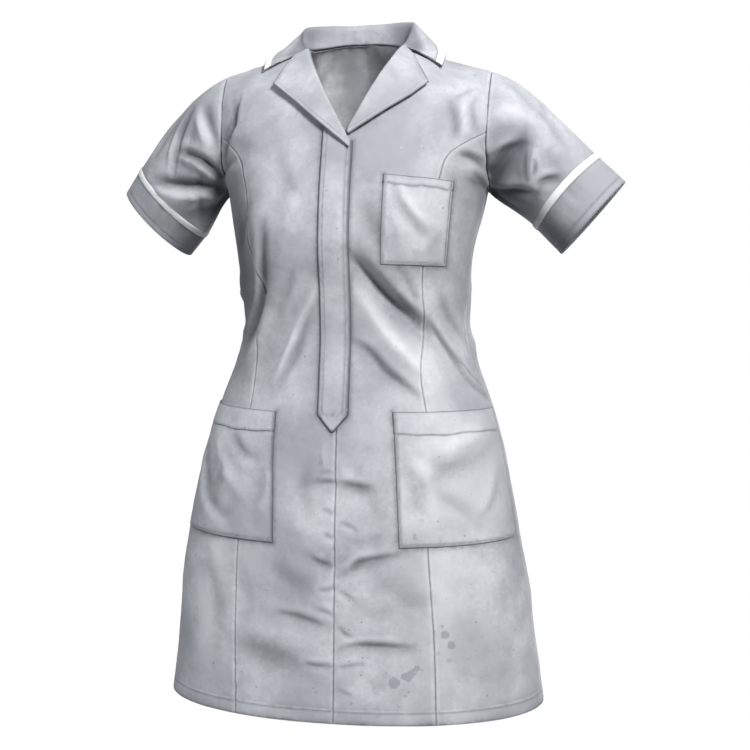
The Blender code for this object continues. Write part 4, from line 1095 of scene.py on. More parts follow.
def makeSideFront(side, label):
    f, p = trunkForm, sidePanel
    foot = f["hemHeight"]
    low, inset, count = skirtRows(0.5 * (f["yokeHeight"] + f["armpitHeight"]))
    columns = spacing(p["width"], sewing["step"], bothEnds(p["width"], sewing["seamRows"])) / p["width"]
    tall = p["upper"]
    upper = spacing(tall, tall / count, [tall - 0.0006, tall - 0.0016])[1:, None] / tall
    start = foot + hem["levels"]
    innerHeight = np.concatenate([foot + low, along(start, f["yokeHeight"], upper)])
    outerHeight = np.concatenate([foot + low, along(start, f["armpitHeight"], upper)])
    inset = np.concatenate([inset, 0.0 * upper]) + 0.0 * columns
    share = (innerHeight - foot) / (f["yokeHeight"] - foot)
    height = along(innerHeight, outerHeight, columns)
    angle = along(np.abs(princessAngle(innerHeight, side)), sideAngle(outerHeight), columns)
    # the top follows the armhole, and the rows below it less and less
    reach = 0.5 * (f["tipHeight"] - f["armpitHeight"])
    topTurn = math.acos((f["yokeHeight"] - f["armpitHeight"] - reach) / reach)
    topAngle, topHeight = armhole(along(topTurn, math.pi, columns))
    nearTop = share ** p["armholeReach"]
    angle = angle + nearTop * (topAngle - along(topAngle[0], topAngle[-1], columns))
    height = height + nearTop * (topHeight - along(topHeight[0], topHeight[-1], columns))
    grid, fine, grime = trunk(side * angle, height, -inset)
    sheet = sheetOf(grid, bodyCentre(grid), fine=fine, grime=grime)
    gaps = sheet["gaps"]
    seam(sheet, np.where(inset <= 0, gaps["first"], 1.0))
    seam(sheet, np.where(inset <= 0, gaps["last"], 1.0), dark=0.60)
    seam(sheet, gaps["top"])
    finishPanel("side_front_" + label, sheet, height, inset)


backPanel = {
    "cut": (0.725, 0.985), "area": 0.515, "width": 0.60, "upper": 0.19,
    "step": 0.0034, "columns": 0.0038, "upperStep": 0.0036,
    # a waist dart on each side: distance from the middle, top and bottom heights
    "dart": (0.082, -0.270, -0.500),
}


def backGrid():
    f, p = trunkForm, backPanel
    level, inset = levelRows(f["armpitHeight"], p["step"])
    columns = spacing(p["width"], p["columns"], bothEnds(p["width"], sewing["seamRows"])) / p["width"]
    columns = columns * 2.0 - 1.0
    angle = math.pi - columns * (math.pi - sideAngle(level))

    # above the armpits the rows rise to the neckline and shoulder seams
    tall = p["upper"]
    share = spacing(tall, p["upperStep"], [tall - 0.0006, tall - 0.0016])[1:, None] / tall
    edgeHeight = along(f["armpitHeight"], f["tipHeight"], rise(share))
    yoke = ease((edgeHeight - f["yokeHeight"]) / (f["tipHeight"] - f["yokeHeight"]))
    edge = np.minimum(along(f["armholeSide"], f["tipSide"], yoke), readTable(f["levels"], 1, edgeHeight))
    topSide = columns * f["tipSide"]
    neckline = along(f["neckHeight"], f["backNeckHeight"], 1.0 - (topSide / f["neckSide"]) ** 2)
    top = np.where(np.abs(topSide) < f["neckSide"], neckline, shoulderLine(topSide, False))
    heightUp = along(f["armpitHeight"], top, rise(share))
    even = math.pi - columns * (math.pi - angleAt(edge, edgeHeight, back=True))
    angleUp = along(even, angleAt(columns * edge, heightUp, back=True), ease(share * 1.6))
    return (np.concatenate([angle, angleUp]), np.concatenate([level + 0.0 * columns, heightUp]),
            np.concatenate([inset + 0.0 * columns, 0.0 * heightUp]))


def makeBack():
    angle, height, inset = backGrid()
    grid, fine, grime = trunk(angle, height, -inset)
    sheet = sheetOf(grid, bodyCentre(grid), fine=fine, grime=grime)
    gaps = sheet["gaps"]
    sideGaps = [np.where(inset <= 0, gaps[key], 1.0) for key in ("first", "last")]
    for gap in sideGaps + [gaps["top"]]:
        seam(sheet, gap, dark=0.60)
    side, top, foot = backPanel["dart"]
    share = 1.0 - ((2.0 * height - top - foot) / (top - foot)) ** 2
    within = np.clip(share, 0.0, 1.0) ** 0.5 * (inset <= 0)
    stitchGroove(sheet, np.abs(np.abs(grid[..., 0]) - side), within, dark=0.55)
    finishPanel("back", sheet, height, inset)


for side, label in ((1, "left"), (-1, "right")):
    makeFront(side, label)
    makeSideFront(side, label)
makeBack()
print("dress: trunk panels sewn")


pocketSewing = {"strength": 1.7, "line": 0.0042, "off": 0.0011, "waver": 0.0009}


def makePocket(kind, name):
    p, s = pockets[kind], pocketSewing
    corners = np.array(p["corners"])
    spots = plainTrunk(pocketAngle(kind, corners[:, 0], corners[:, 1]), corners[:, 1])
    wide = np.linalg.norm(spots[1] - spots[0]) * p.get("bulge", 1.0)
    tall = np.linalg.norm(spots[3] - spots[0])
    line, hemLine = s["line"], tall - p["hem"]
    near = [0.0006, 0.0014, 0.0024, line - 0.0009, line, line + 0.0009]
    columns = spacing(wide, sewing["step"], bothEnds(wide, near))[None, :] / wide
    near += [hemLine - 0.0011, hemLine, hemLine + 0.0011, tall - 0.0008, tall - 0.0020]
    up = spacing(tall, sewing["step"], near) / tall
    # the mouth is turned in: a few rows go back down behind it
    behind = np.array([(0.0010, 0.0012), (0.0060, 0.0013), (0.0140, 0.0013)])
    rows = np.concatenate([up, 1.0 - behind[:, 0] / tall])[:, None]
    tuck = np.concatenate([0.0 * up, behind[:, 1]])[:, None]
    spot = along(along(corners[3], corners[2], columns.T)[None],
                 along(corners[0], corners[1], columns.T)[None],
                 rows[..., None])
    angle, height = pocketAngle(kind, spot[..., 0], spot[..., 1]), spot[..., 1]
    across, above = columns * wide + 0.0 * rows, rows * tall + 0.0 * columns
    # the hem's lower line wavers
    waver = np.sin(2.0 * np.pi * (1.7 * columns + 0.15)) + 0.6 * np.sin(2.0 * np.pi * (4.1 * columns))
    height = height + s["waver"] * waver * bell(above - hemLine, 0.010)
    if "cutCorner" in p:
        # the lower outer corner is cut off a little
        cutOff = np.clip(1.0 - (wide - across + above) / p["cutCorner"], 0.0, 1.0)
        height = height + 0.55 * p["cutCorner"] * cutOff
        angle = angle - 0.012 * cutOff
    bow, belly = np.sin(np.pi * columns), np.clip(np.sin(np.pi * np.clip(rows, 0, 1)), 0, 1)
    lift = s["off"] + p["puff"] * belly * bow + p["mouth"] * ease(rows) ** 3 * bow

    # folds of the pocket itself, on its own flat surface: share across, share up
    flat = lambda over, share: np.stack([np.degrees(over) * wide, share * tall, 0.0 * share], axis=-1)
    own = np.stack([across, above, 0.0 * above], axis=-1)
    facing = np.broadcast_to(np.array([0.0, 0.0, 1.0]), own.shape)
    folded = s["strength"] * creaseLift(p["creases"], flat, own, facing)
    folded = folded * ease(np.minimum(columns, 1.0 - columns) * wide / 0.012) * ease(above / 0.012)
    lift = np.maximum(lift + folded, s["off"]) - tuck
    grid, fine, grime = trunk(angle, height, lift)
    sheet = sheetOf(grid, bodyCentre(grid), fine=0.6 * fine + folded, grime=0.5 * grime)

    outside = tuck <= 0.0
    rim = np.minimum(np.minimum(across, wide - across), above)
    turnedEdge(sheet, rim, dark=0.86, wide=0.0028)
    turnedEdge(sheet, np.where(outside, tall - above, 1.0), dark=0.72, wide=0.0018)
    sheet["lift"] -= 0.0005 * bell(rim, 0.0012)
    for gap in (rim - line, above - hemLine):
        stitchGroove(sheet, np.where(outside, gap, 1.0), dark=0.85)
    # painted highlight over the middle of the bulge
    sheet["grime"] = sheet["grime"] - p["faded"] * bow * belly ** 0.5
    sheet["lift"] += 0.0003 * (above > hemLine) * outside
    # painted shade on the turning behind the mouth
    atLeast(sheet, "dirtAndShade", np.where(outside, 0.0, 0.5))
    hemMarks(sheet, height)
    piece = cutAndSew(name, sheet, sewing["cloth"], dressCloth, litInsideCloth)
    outer = {"grid": sheet["grid"][:len(up)], "normal": sheet["normal"][:len(up)]}
    outer["gaps"] = fromEdges(outer["grid"])
    runs = [rowRun(outer, "first", line, line), rowRun(outer, "last", line, line),
            rowRun(outer, "bottom", line, line, line), rowRun(outer, "top", p["hem"], line, line)]
    sewDown(piece, runs=runs)


makePocket("chest", "pocket_chest")
for label in ("left", "right"):
    makePocket(label, "pocket_hip_" + label)
print("dress: pockets sewn on")


def makePlacket():
    p = placketForm
    width = p["leftSide"] - p["rightSide"]
    near = [line + d for line in p["stitches"] for d in (-0.0010, 0.0, 0.0010)]
    columns = spacing(width, sewing["step"], near + bothEnds(width, (0.0006, 0.0014))) / width
    foot = along(p["shoulderHeight"], p["pointHeight"], 1.0 - np.abs(2.0 * columns - 1.0))
    top = along(p["topRight"], p["topLeft"], columns)
    tall = p["topLeft"] - p["shoulderHeight"]
    share = spacing(tall, sewing["step"], [0.0006, 0.0014, 0.0025, 0.0036])[:, None] / tall
    # rows follow the pointed foot and turn level above it
    height = along(along(foot, top, share), along(p["shoulderHeight"], top, share),
                   ease(share * tall / 0.035))
    side = along(p["rightSide"], p["leftSide"], columns) + 0.0 * height
    bow = np.sin(np.pi * columns)
    grid, fine, grime = trunk(angleAt(side, height), height, p["lift"] + p["crown"] * bow)
    sheet = sheetOf(grid, bodyCentre(grid), fine=0.7 * fine, grime=0.3 * grime)
    fromRight = columns * width + 0.0 * height
    rim = np.minimum(np.minimum(fromRight, width - fromRight), sheet["gaps"]["bottom"] * 0.86)
    turnedEdge(sheet, rim, dark=0.86, wide=0.0028)
    sheet["lift"] -= 0.0008 * bell(rim, 0.0012)
    for line in p["stitches"]:
        stitchGroove(sheet, fromRight - line, dark=0.85)
    cross = np.abs(height - p["shoulderHeight"] - 0.0005)
    stitchGroove(sheet, cross, dark=0.40)
    # small drags across the strip, uneven
    spots = np.stack([0.0 * height[:, :1], 0.0 * height[:, :1] + 3.0 * p["dragSize"], height[:, :1]], axis=-1)
    sheet["lift"] += p["drag"] * unevenness(spots, p["dragSize"]) * bow
    hemMarks(sheet, height)
    piece = cutAndSew("placket", sheet, sewing["doubleCloth"], dressCloth, litInsideCloth)
    sheet["gaps"] = {"first": fromRight}
    runs = [rowRun(sheet, "first", line, 0.003) for line in p["stitches"]]
    row = int(cross[:, len(columns) // 4].argmin())
    runs.append((sheet["grid"][row, 2:-2], sheet["normal"][row, 2:-2]))
    sewDown(piece, runs=runs, lift=0.0007)


makePlacket()


# lapels

lapelForm = {
    "cut": (0.085, 0.170), "cutArea": 0.0072,
    "notch": (0.0835, -0.0130), "top": (0.0680, 0.0000),
    # foot of the roll, a point low on the outer edge, a point near the tip, the tip
    "left": [(0.0085, -0.1204), (0.0100, -0.1236), (0.0900, -0.0722), (0.1095, -0.0545)],
    "right": [(-0.0125, -0.1385), (-0.0118, -0.1416), (0.0664, -0.0788), (0.1020, -0.0532)],
    "liftLow": 0.0054, "liftHigh": 0.0058, "edgeLift": 0.0022,
    "roll": 0.0030, "stitch": 0.0050, "length": 0.145, "width": 0.060,
    # round the roll: how far out of the front's edge, share of the lift
    "rollSteps": [(-0.0010, -0.16), (0.35, 0.02), (0.80, 0.26), (1.0, 0.52), (0.72, 0.84), (0.30, 0.97)],
    "bow": 0.0010, "bowSize": 0.030,
}


def bend(start, middle, end, share):
    first, second = np.linalg.norm(middle - start), np.linalg.norm(end - middle)
    turn = first / (first + second)
    lower = along(start, middle, np.clip(share / turn, 0.0, 1.0))
    upper = along(middle, end, np.clip((share - turn) / (1.0 - turn), 0.0, 1.0))
    return np.where(share < turn, lower, upper)


def makeLapel(side, label):
    p = lapelForm
    foot, outerFoot, kink, tip = (np.array(spot) for spot in p[label])
    top = np.array(p["top"])
    long, wide, line = p["length"], p["width"], p["stitch"]
    rows = spacing(long, 0.0030, [long - d for d in (0.0006, 0.0014, 0.0040, 0.0050, 0.0060)])[:, None] / long
    columns = spacing(wide, 0.0026, [wide - 0.0006, wide - 0.0014])[None, :, None] / wide
    inner = along(foot, top, rows)
    flat = along(inner[:, None, :], bend(outerFoot, kink, tip, rows)[:, None, :], columns)
    topEdge = bend(top, np.array(p["notch"]), tip, columns[0])
    flat = flat + (rows**3)[:, :, None] * (topEdge - flat[-1])[None]
    base = along(p["liftLow"], p["liftHigh"], rows)
    lift = base + p["edgeLift"] * columns[..., 0] ** 2 * ease(rows / 0.2)
    atFoot = 0.85 * (1.0 - ease(rows / 0.13))           # the foot lies over the placket, not under it
    # the roll: out of the front's edge, round and back over it
    reach = p["roll"] * ease(0.15 + rows / 0.10)
    over = np.concatenate([inner[:, :1] - out * reach for out, _ in p["rollSteps"]] + [flat[..., 0]], axis=1)
    height = np.concatenate([inner[:, 1:] for _ in p["rollSteps"]] + [flat[..., 1]], axis=1)
    lift = np.concatenate([along(share, 1.0, atFoot) * base for _, share in p["rollSteps"]] + [lift], axis=1)
    grid, _, _ = trunk(angleAt(side * over, height), height, lift)
    sheet = sheetOf(grid, bodyCentre(grid))
    gaps = sheet["gaps"]
    rim = np.minimum(gaps["last"], gaps["top"])
    turnedEdge(sheet, rim, dark=0.70, wide=0.0018)
    stitchGroove(sheet, np.where(gaps["first"] > 0.012, rim - line, 1.0), dark=0.32)
    sheet["lift"] += p["bow"] * unevenness(grid, p["bowSize"]) * ease(gaps["first"] / 0.02)
    piece = cutAndSew("lapel_" + label, sheet, sewing["doubleCloth"], dressCloth, litInsideCloth)
    runs = [rimRun(sheet, "last", line, "top"), rimRun(sheet, "top", line, "last")]
    sewDown(piece, runs, lift=0.0007)


def rimRun(sheet, gapName, line, otherName):
    # a run at a set distance from one edge, found in each row or column, that stops short of another edge
    gap, other = sheet["gaps"][gapName], sheet["gaps"][otherName]
    grid, normal = sheet["grid"], sheet["normal"]
    if gapName == "top":
        gap, other = gap.T, other.T
        grid, normal = grid.transpose(1, 0, 2), normal.transpose(1, 0, 2)
    points, outs = [], []
    for k in range(grid.shape[0]):
        order = np.argsort(gap[k])
        far = gap[k][order]
        if far[-1] >= line + 0.006 and np.interp(line, far, other[k][order]) >= line:
            points.append(spotAlong(line, far, grid[k][order]))
            outs.append(spotAlong(line, far, normal[k][order]))
    return np.array(points), np.array(outs)


makeLapel(1, "left")
makeLapel(-1, "right")
print("dress: placket and lapels sewn on")


# collar and its white tape

collarForm = {
    "cut": (0.405, 0.100), "cutArea": 0.0264,
    "tilt": 0.05, "foldRadius": 0.0032, "foldShare": 0.35, "belly": 0.0045,
    "stations": 150, "rows": 46, "bow": 0.0011, "bowSize": 0.034, "stitch": 0.0155,
    "tapeCut": (0.402, 0.012), "tapeWidth": 0.0115, "tapeFlare": 0.25, "tapeAir": 0.0012, "tapeThick": 0.0007,
    "lines": [
        # from the centre back to the front end: seam x, y, z, fold x, y, z, outer edge x, y, z
        (0.0000, 0.0590, 0.0170, 0.0000, 0.0620, 0.0450, 0.0000, 0.0790, -0.0020),
        (0.0240, 0.0530, 0.0165, 0.0280, 0.0600, 0.0452, 0.0360, 0.0750, -0.0030),
        (0.0450, 0.0420, 0.0125, 0.0530, 0.0510, 0.0455, 0.0700, 0.0650, -0.0050),
        (0.0600, 0.0270, 0.0085, 0.0715, 0.0360, 0.0440, 0.0970, 0.0480, -0.0060),
        (0.0660, 0.0110, 0.0060, 0.0790, 0.0190, 0.0385, 0.1140, 0.0260, -0.0040),
        (0.0665, 0.0030, 0.0055, 0.0775, 0.0060, 0.0245, 0.1220, 0.0030, -0.0045),
        (0.0662, -0.0040, 0.0045, 0.0725, -0.0030, 0.0130, 0.1275, -0.0160, -0.0130),
        (0.0655, -0.0100, 0.0030, 0.0675, -0.0110, 0.0060, 0.1260, -0.0345, -0.0265),
    ],
}


def smoothThrough(points, count):
    # a smooth curve through a few points, evenly stepped, for every station at once
    length = np.linalg.norm(np.diff(points, axis=0), axis=-1).mean(axis=1)
    at = np.concatenate([[0.0], np.cumsum(length)])
    tilts = np.gradient(points, at, axis=0)
    want = np.linspace(0.0, at[-1], count)
    first = np.clip(np.searchsorted(at, want) - 1, 0, len(at) - 2)
    step = (at[first + 1] - at[first])[:, None, None]
    t = ((want - at[first]) / (at[first + 1] - at[first]))[:, None, None]
    return curve(t, points[first], points[first + 1], tilts[first], tilts[first + 1], step)


def collarGrid(stations, rows):
    p = collarForm
    numbered = [(k,) + row for k, row in enumerate(p["lines"])]
    end = len(p["lines"]) - 1
    nearEnd = end - 0.02 * np.array([0.05, 0.16, 0.35])
    at = np.unique(np.concatenate([np.linspace(-end, end, stations), nearEnd, -nearEnd]))
    lines = []
    for first in (1, 4, 7):
        x, y, z = (readTable(numbered, first + axis, np.abs(at)) for axis in range(3))
        lines.append(np.stack([np.copysign(x, at), y, z], axis=-1))
    seamLine, fold, edge = lines
    fold[:, 2] += p["tilt"] * np.minimum(fold[:, 0], 0.0)
    outward = unit(fold * np.array([1.0, 1.0, 0.0]) + np.array([0.0, 0.01, 0.0]))
    stand = np.linalg.norm(fold - seamLine, axis=-1, keepdims=True)
    radius = np.minimum(p["foldRadius"], p["foldShare"] * stand)
    below = fold - np.array([0.0, 0.0, 1.0]) * radius
    inside, outside = below - outward * radius, below + outward * radius
    sections = [seamLine, along(seamLine, inside, 0.5), inside, fold, outside]
    for share in (0.25, 0.5, 0.75, 1.0):
        sections.append(along(outside, edge, share) + p["belly"] * math.sin(math.pi * share) * outward)
    return smoothThrough(np.stack(sections), rows)


def makeCollar():
    p = collarForm
    grid = collarGrid(p["stations"], p["rows"])
    # out means away from a ring below the fold, between stand and fall
    sheet = sheetOf(grid, 0.5 * (grid[:1] + grid[-1:]))
    gaps = sheet["gaps"]
    rim = np.minimum(np.minimum(gaps["top"], gaps["first"]), gaps["last"])
    sheet["lift"] += p["bow"] * unevenness(grid, p["bowSize"]) * ease(gaps["bottom"] / 0.02)
    turnedEdge(sheet, rim)
    seam(sheet, gaps["bottom"], dark=0.15, light=0.0, sink=0.4)
    stitchGroove(sheet, gaps["top"] - p["stitch"], dark=0.30)
    # painted shade on the stand next to the neck, most at the front of the fold
    standShade = 1.0 - ease((gaps["bottom"] - 0.026) / 0.016)
    sheet["grime"] = standShade * (0.14 + 0.36 * np.clip(np.abs(grid[..., 0]) / 0.070, 0.0, 1.0) ** 3)
    piece = cutAndSew("collar", sheet, sewing["doubleCloth"], dressCloth)
    runs = [rimRun(sheet, "top", p["stitch"], "first")]
    sewDown(piece, runs, lift=0.0007)
    tapeCollar(sheet)


def tapeCollar(collar):
    # the tape lies on the fall, along its outer edge, and shows a little wider at the wearer's left
    p = collarForm
    distances = np.array([0.0004, 0.0010, 0.0030, 0.0060, 0.0090, 0.0110, p["tapeWidth"]])
    rows, outs = [], []
    for k in range(collar["grid"].shape[1]):
        collarParts = (collar["grid"], collar["normal"], collar["gaps"]["top"])
        points, normals, gap = (part[::-1, k] for part in collarParts)
        wider = distances * (1.0 + p["tapeFlare"] * float(ease((points[0, 0] - 0.108) / 0.012)))
        rows.append(spotAlong(wider, gap, points))
        outs.append(spotAlong(wider, gap, normals))
    rows, outs = np.stack(rows, axis=1), unit(np.stack(outs, axis=1))
    tape = sheetOf(rows + outs * p["tapeAir"], rows)
    tape["normal"] = outs
    low, high = tape["gaps"]["bottom"], tape["gaps"]["top"]
    tape["lift"] -= 0.0004 * bell(np.minimum(low, high), 0.0008)
    # painted shade along both edges of the tape, darkest at the collar's rim
    tape["dirtAndShade"] = 0.90 * bell(low, 0.0012) + 0.36 * bell(high, 0.0008)
    piece = cutAndSew("collar_trim", tape, p["tapeThick"], whiteTape)
    sewDown(piece)


makeCollar()
print("dress: collar made and taped")


# sleeves, cuffs and their tape

sleeveForm = {
    "cut": (0.420, 0.195), "cutArea": 0.0540,
    "cuffCut": (0.388, 0.100), "cuffCloth": 0.0009,
    "tapeCut": (0.392, 0.012), "tapeThick": 0.0006, "underTape": 0.0020,
    "ring": 0.0605, "length": 0.125, "step": 0.0025,
    # how much painted shade the cuff has below the arm, at which turn, how far round, and all over
    "cuffShade": {"left": (0.62, 142.0, 36.0, 0.02), "right": (0.60, 160.0, 40.0, 0.16)},
    # folds that run on from the sleeve into the cuff: turn, width in degrees, depth
    "cuffDrags": {
        "left": [(86, 5.0, -0.0022), (76, 4.0, -0.0014), (96, 6.0, 0.0012), (60, 7.0, 0.0010),
                 (130, 9.0, -0.0014), (250, 6.0, -0.0018), (290, 8.0, 0.0012)],
        "right": [(96, 6.0, -0.0020), (110, 7.0, 0.0012), (72, 6.0, -0.0012), (130, 8.0, -0.0014),
                  (252, 6.0, -0.0018), (292, 8.0, 0.0012)],
    },
    "arms": {
        # tape ring centre, cuff ring centre, half heights, lean in degrees, how far the tape bows
        "left": ((0.2875, 0.0350, -0.1920), (0.3280, 0.0450, -0.2310), (0.0646, 0.0664), 49.0, 0.0045),
        "right": ((0.2775, 0.0310, -0.2035), (0.3100, 0.0520, -0.2365), (0.0668, 0.0654), 45.5, -0.0010),
    },
    "ringDepth": 0.0560, "tapeWidth": 0.0096, "start": 0.0003, "strength": 1.9,
    "topWay": (0.93, 0.06, -0.36), "underWay": (0.74, 0.10, -0.66), "fullness": 0.30,
    "radius": 0.062, "underarmSeam": 168.0, "cuffStitch": 0.0090,
    "broad": {
        # angle round the arm, share of the length, to angle, share, width, depth
        "left": [
            (100, 0.02, 60, 0.55, 0.013, -0.0070),
            (60, 0.55, 88, 0.95, 0.012, -0.0050),
            (70, 0.20, 36, 0.62, 0.013, 0.0045),
            (250, 0.10, 285, 0.70, 0.014, -0.0055),
        ],
        "right": [
            (62, 0.25, 84, 0.75, 0.013, -0.0060),
            (110, 0.30, 150, 0.90, 0.012, -0.0050),
            (86, 0.10, 118, 0.60, 0.013, 0.0040),
            (245, 0.15, 290, 0.80, 0.014, -0.0055),
        ],
    },
    "grime": {
        # painted shade (+) and painted highlights (-): width, strength, hard side, path of (turn, share)
        "left": [
            (0.0125, 0.94, 0.80, [(124, -0.06), (110, 0.09), (97, 0.22), (86, 0.35), (76, 0.45), (72, 0.54)]),
            (0.0048, 0.62, 0.90, [(116, 0.04), (104, 0.16), (93, 0.28), (83, 0.40), (75, 0.49)]),
            (0.0160, 0.78, 0.0, [(136, -0.04), (122, 0.16), (108, 0.34), (94, 0.48)]),
            (0.0130, 0.64, 0.85, [(70, 0.46), (80, 0.50), (92, 0.54), (104, 0.60), (114, 0.70), (119, 0.84)]),
            (0.0080, -0.55, 0.5, [(108, 0.72), (98, 0.66), (86, 0.61), (72, 0.57)]),
            (0.0036, 0.46, 0.0, [(89, 0.66), (97, 0.69), (106, 0.68)]),
            (0.0052, 0.52, 0.0, [(120, 0.86), (110, 0.82), (99, 0.84), (92, 0.90), (84, 0.99)]),
            (0.0220, 0.76, 0.80,
             [(160, -0.04), (146, 0.22), (136, 0.46), (126, 0.68), (121, 0.86), (118, 1.06)]),
            (0.0055, -0.34, 0.0, [(124, 0.62), (114, 0.75), (102, 0.79), (92, 0.80)]),
            (0.0160, 0.58, 0.0, [(172, -0.05), (160, 0.40), (148, 1.06)]),
            (0.0200, 0.30, 0.0, [(192, -0.05), (180, 0.50), (168, 1.06)]),
            (0.0120, -0.22, 0.0, [(58, 0.10), (62, 0.34), (56, 0.56)]),
        ],
        "right": [
            (0.0046, 0.48, 0.0, [(33, 0.30), (46, 0.41), (58, 0.50), (70, 0.60), (82, 0.69)]),
            (0.0110, 0.20, 0.0, [(32, 0.28), (46, 0.38), (58, 0.48)]),
            (0.0070, 0.66, -0.6, [(66, 0.56), (80, 0.46), (96, 0.34), (112, 0.21), (134, 0.02)]),
            (0.0080, -0.42, 0.0, [(60, 0.52), (76, 0.39), (93, 0.25), (108, 0.12)]),
            (0.0068, 0.42, 0.0, [(44, 0.20), (60, 0.15), (74, 0.11), (88, 0.07), (106, 0.02)]),
            (0.0056, -0.34, 0.0, [(38, 0.25), (54, 0.22), (72, 0.19), (92, 0.11)]),
            (0.0078, 0.60, 0.5, [(62, 1.00), (76, 0.89), (92, 0.76), (125, 0.43), (156, 0.06)]),
            (0.0070, -0.32, 0.0, [(78, 1.00), (94, 0.90), (110, 0.80), (122, 0.70)]),
            (0.0260, 0.20, 0.0, [(36, 0.10), (40, 0.50), (44, 1.06)]),
            (0.0200, 0.76, -0.5, [(112, 1.06), (136, 0.74), (156, 0.42), (168, 0.02)]),
            (0.0150, 0.36, 0.0, [(118, 0.06), (140, 0.14), (160, 0.20)]),
            (0.0200, 0.30, 0.0, [(186, -0.05), (176, 0.50), (164, 1.06)]),
        ],
        "both": [
            (0.0090, 0.26, 0.0, [(214, 0.10), (236, 0.26), (256, 0.44), (268, 0.62)]),
            (0.0080, 0.20, 0.0, [(206, 0.30), (226, 0.52), (244, 0.78)]),
        ],
    },
    "creases": {
        # width, depth, side ridge, path of (turn, share)
        "left": [
            (0.0085, -0.0062, 0.3,
             [(146, 0.03), (126, 0.16), (108, 0.28), (90, 0.38), (76, 0.47), (72, 0.52)]),
            (0.0042, -0.0020, -0.4, [(72, 0.50), (84, 0.55), (98, 0.58), (108, 0.64), (112, 0.74)]),
            (0.0040, -0.0024, 0.5, [(84, 0.62), (94, 0.66), (104, 0.68)]),
            (0.0055, -0.0030, 0.5, [(112, 0.78), (98, 0.84), (88, 0.92), (80, 0.97)]),
            (0.0075, -0.0030, 0.4, [(155, 0.08), (142, 0.36), (128, 0.60), (114, 0.92)]),
            (0.0100, 0.0028, 0.0, [(60, 0.24), (58, 0.48), (70, 0.72)]),
            (0.0090, -0.0022, 0.3, [(30, 0.40), (38, 0.62), (50, 0.82)]),
            (0.0080, -0.0016, 0.3, [(20, 0.10), (28, 0.30), (40, 0.44)]),
        ],
        "right": [
            (0.0038, -0.0034, 0.6, [(36, 0.30), (48, 0.42), (60, 0.54), (74, 0.66), (84, 0.74)]),
            (0.0058, -0.0058, 0.6, [(66, 0.56), (82, 0.44), (96, 0.32), (112, 0.21), (132, 0.06)]),
            (0.0080, -0.0056, 0.5, [(66, 0.92), (82, 0.84), (98, 0.70), (124, 0.42), (152, 0.10)]),
            (0.0075, -0.0028, 0.4, [(46, 0.14), (62, 0.16), (78, 0.13), (100, 0.06)]),
            (0.0090, 0.0034, 0.0, [(52, 0.26), (76, 0.24), (100, 0.16)]),
            (0.0080, 0.0024, 0.0, [(96, 0.96), (112, 0.76), (132, 0.56)]),
            (0.0070, -0.0020, 0.3, [(20, 0.40), (30, 0.62), (42, 0.86)]),
        ],
        "both": [
            # the back of the sleeve
            (0.0060, -0.0034, 0.5, [(214, 0.10), (236, 0.26), (256, 0.44), (268, 0.62)]),
            (0.0055, -0.0026, 0.5, [(206, 0.30), (226, 0.52), (244, 0.78)]),
            (0.0050, -0.0022, 0.5, [(252, 0.92), (270, 0.80), (284, 0.62)]),
            (0.0085, -0.0020, 0.3, [(300, 0.14), (312, 0.42), (318, 0.70)]),
        ],
    },
}


def ringAt(label, turn, past, lift=0.0):
    # a place round the arm, past the tape's upper edge
    p = sleeveForm
    tape, edge, heights, lean, bow = p["arms"][label]
    tape, edge, lean = np.array(tape), np.array(edge), math.radians(lean)
    reach = np.linalg.norm(edge - tape)
    up = np.array([math.cos(lean), 0.0, math.sin(lean)])
    forward = np.array([0.0, -1.0, 0.0])
    turn, past, lift = np.broadcast_arrays(np.asarray(turn, float), past, lift)
    # the tape bows towards the shoulder in front; the cuff's own edge stays straight
    shift = -bow * np.clip(np.sin(turn), 0.0, 1.0) ** 2 * np.clip(1.0 - past / reach, 0.0, 1.0)
    share = ((past + shift) / reach)[..., None]
    tall = along(heights[0], heights[1], past / reach) + lift
    return (along(tape, edge, share) + up * (tall * np.cos(turn))[..., None]
            + forward * ((p["ringDepth"] + lift) * np.sin(turn))[..., None])


def armholeEdge(side, turn):        # the trunk's edge, read as if on the wearer's left
    angle, height = armhole(turn)
    spot, _, _ = trunk(side * angle, height)
    return spot * np.array([side, 1.0, 1.0])


def plainSleeve(side, label, turn, share):
    p = sleeveForm
    turn, share = np.broadcast_arrays(turn, share)
    start = armholeEdge(side, turn) + np.array([p["start"], 0.0, 0.0])
    end = ringAt(label, turn, 0.0)
    under = 0.5 * (1.0 - np.cos(turn))[..., None]
    leave = along(np.array(p["topWay"]), np.array(p["underWay"]), under)
    leave = leave - np.array([0.0, p["fullness"], 0.0]) * np.sin(turn)[..., None]
    reach = np.linalg.norm(end - start, axis=-1, keepdims=True)
    tape, edge = (np.array(place) for place in p["arms"][label][:2])
    return curve(share[..., None], start, end, unit(leave) * reach, unit(edge - tape) * reach)


def ringSheet(grid, **marks):           # a sheet that runs round the arm
    return sheetOf(grid, grid.mean(axis=1, keepdims=True), closed=True, **marks)


def fromSeam(turn):                     # distance from the seam under the arm
    return np.abs(turn - math.radians(sleeveForm["underarmSeam"]))[None, :] * sleeveForm["radius"]


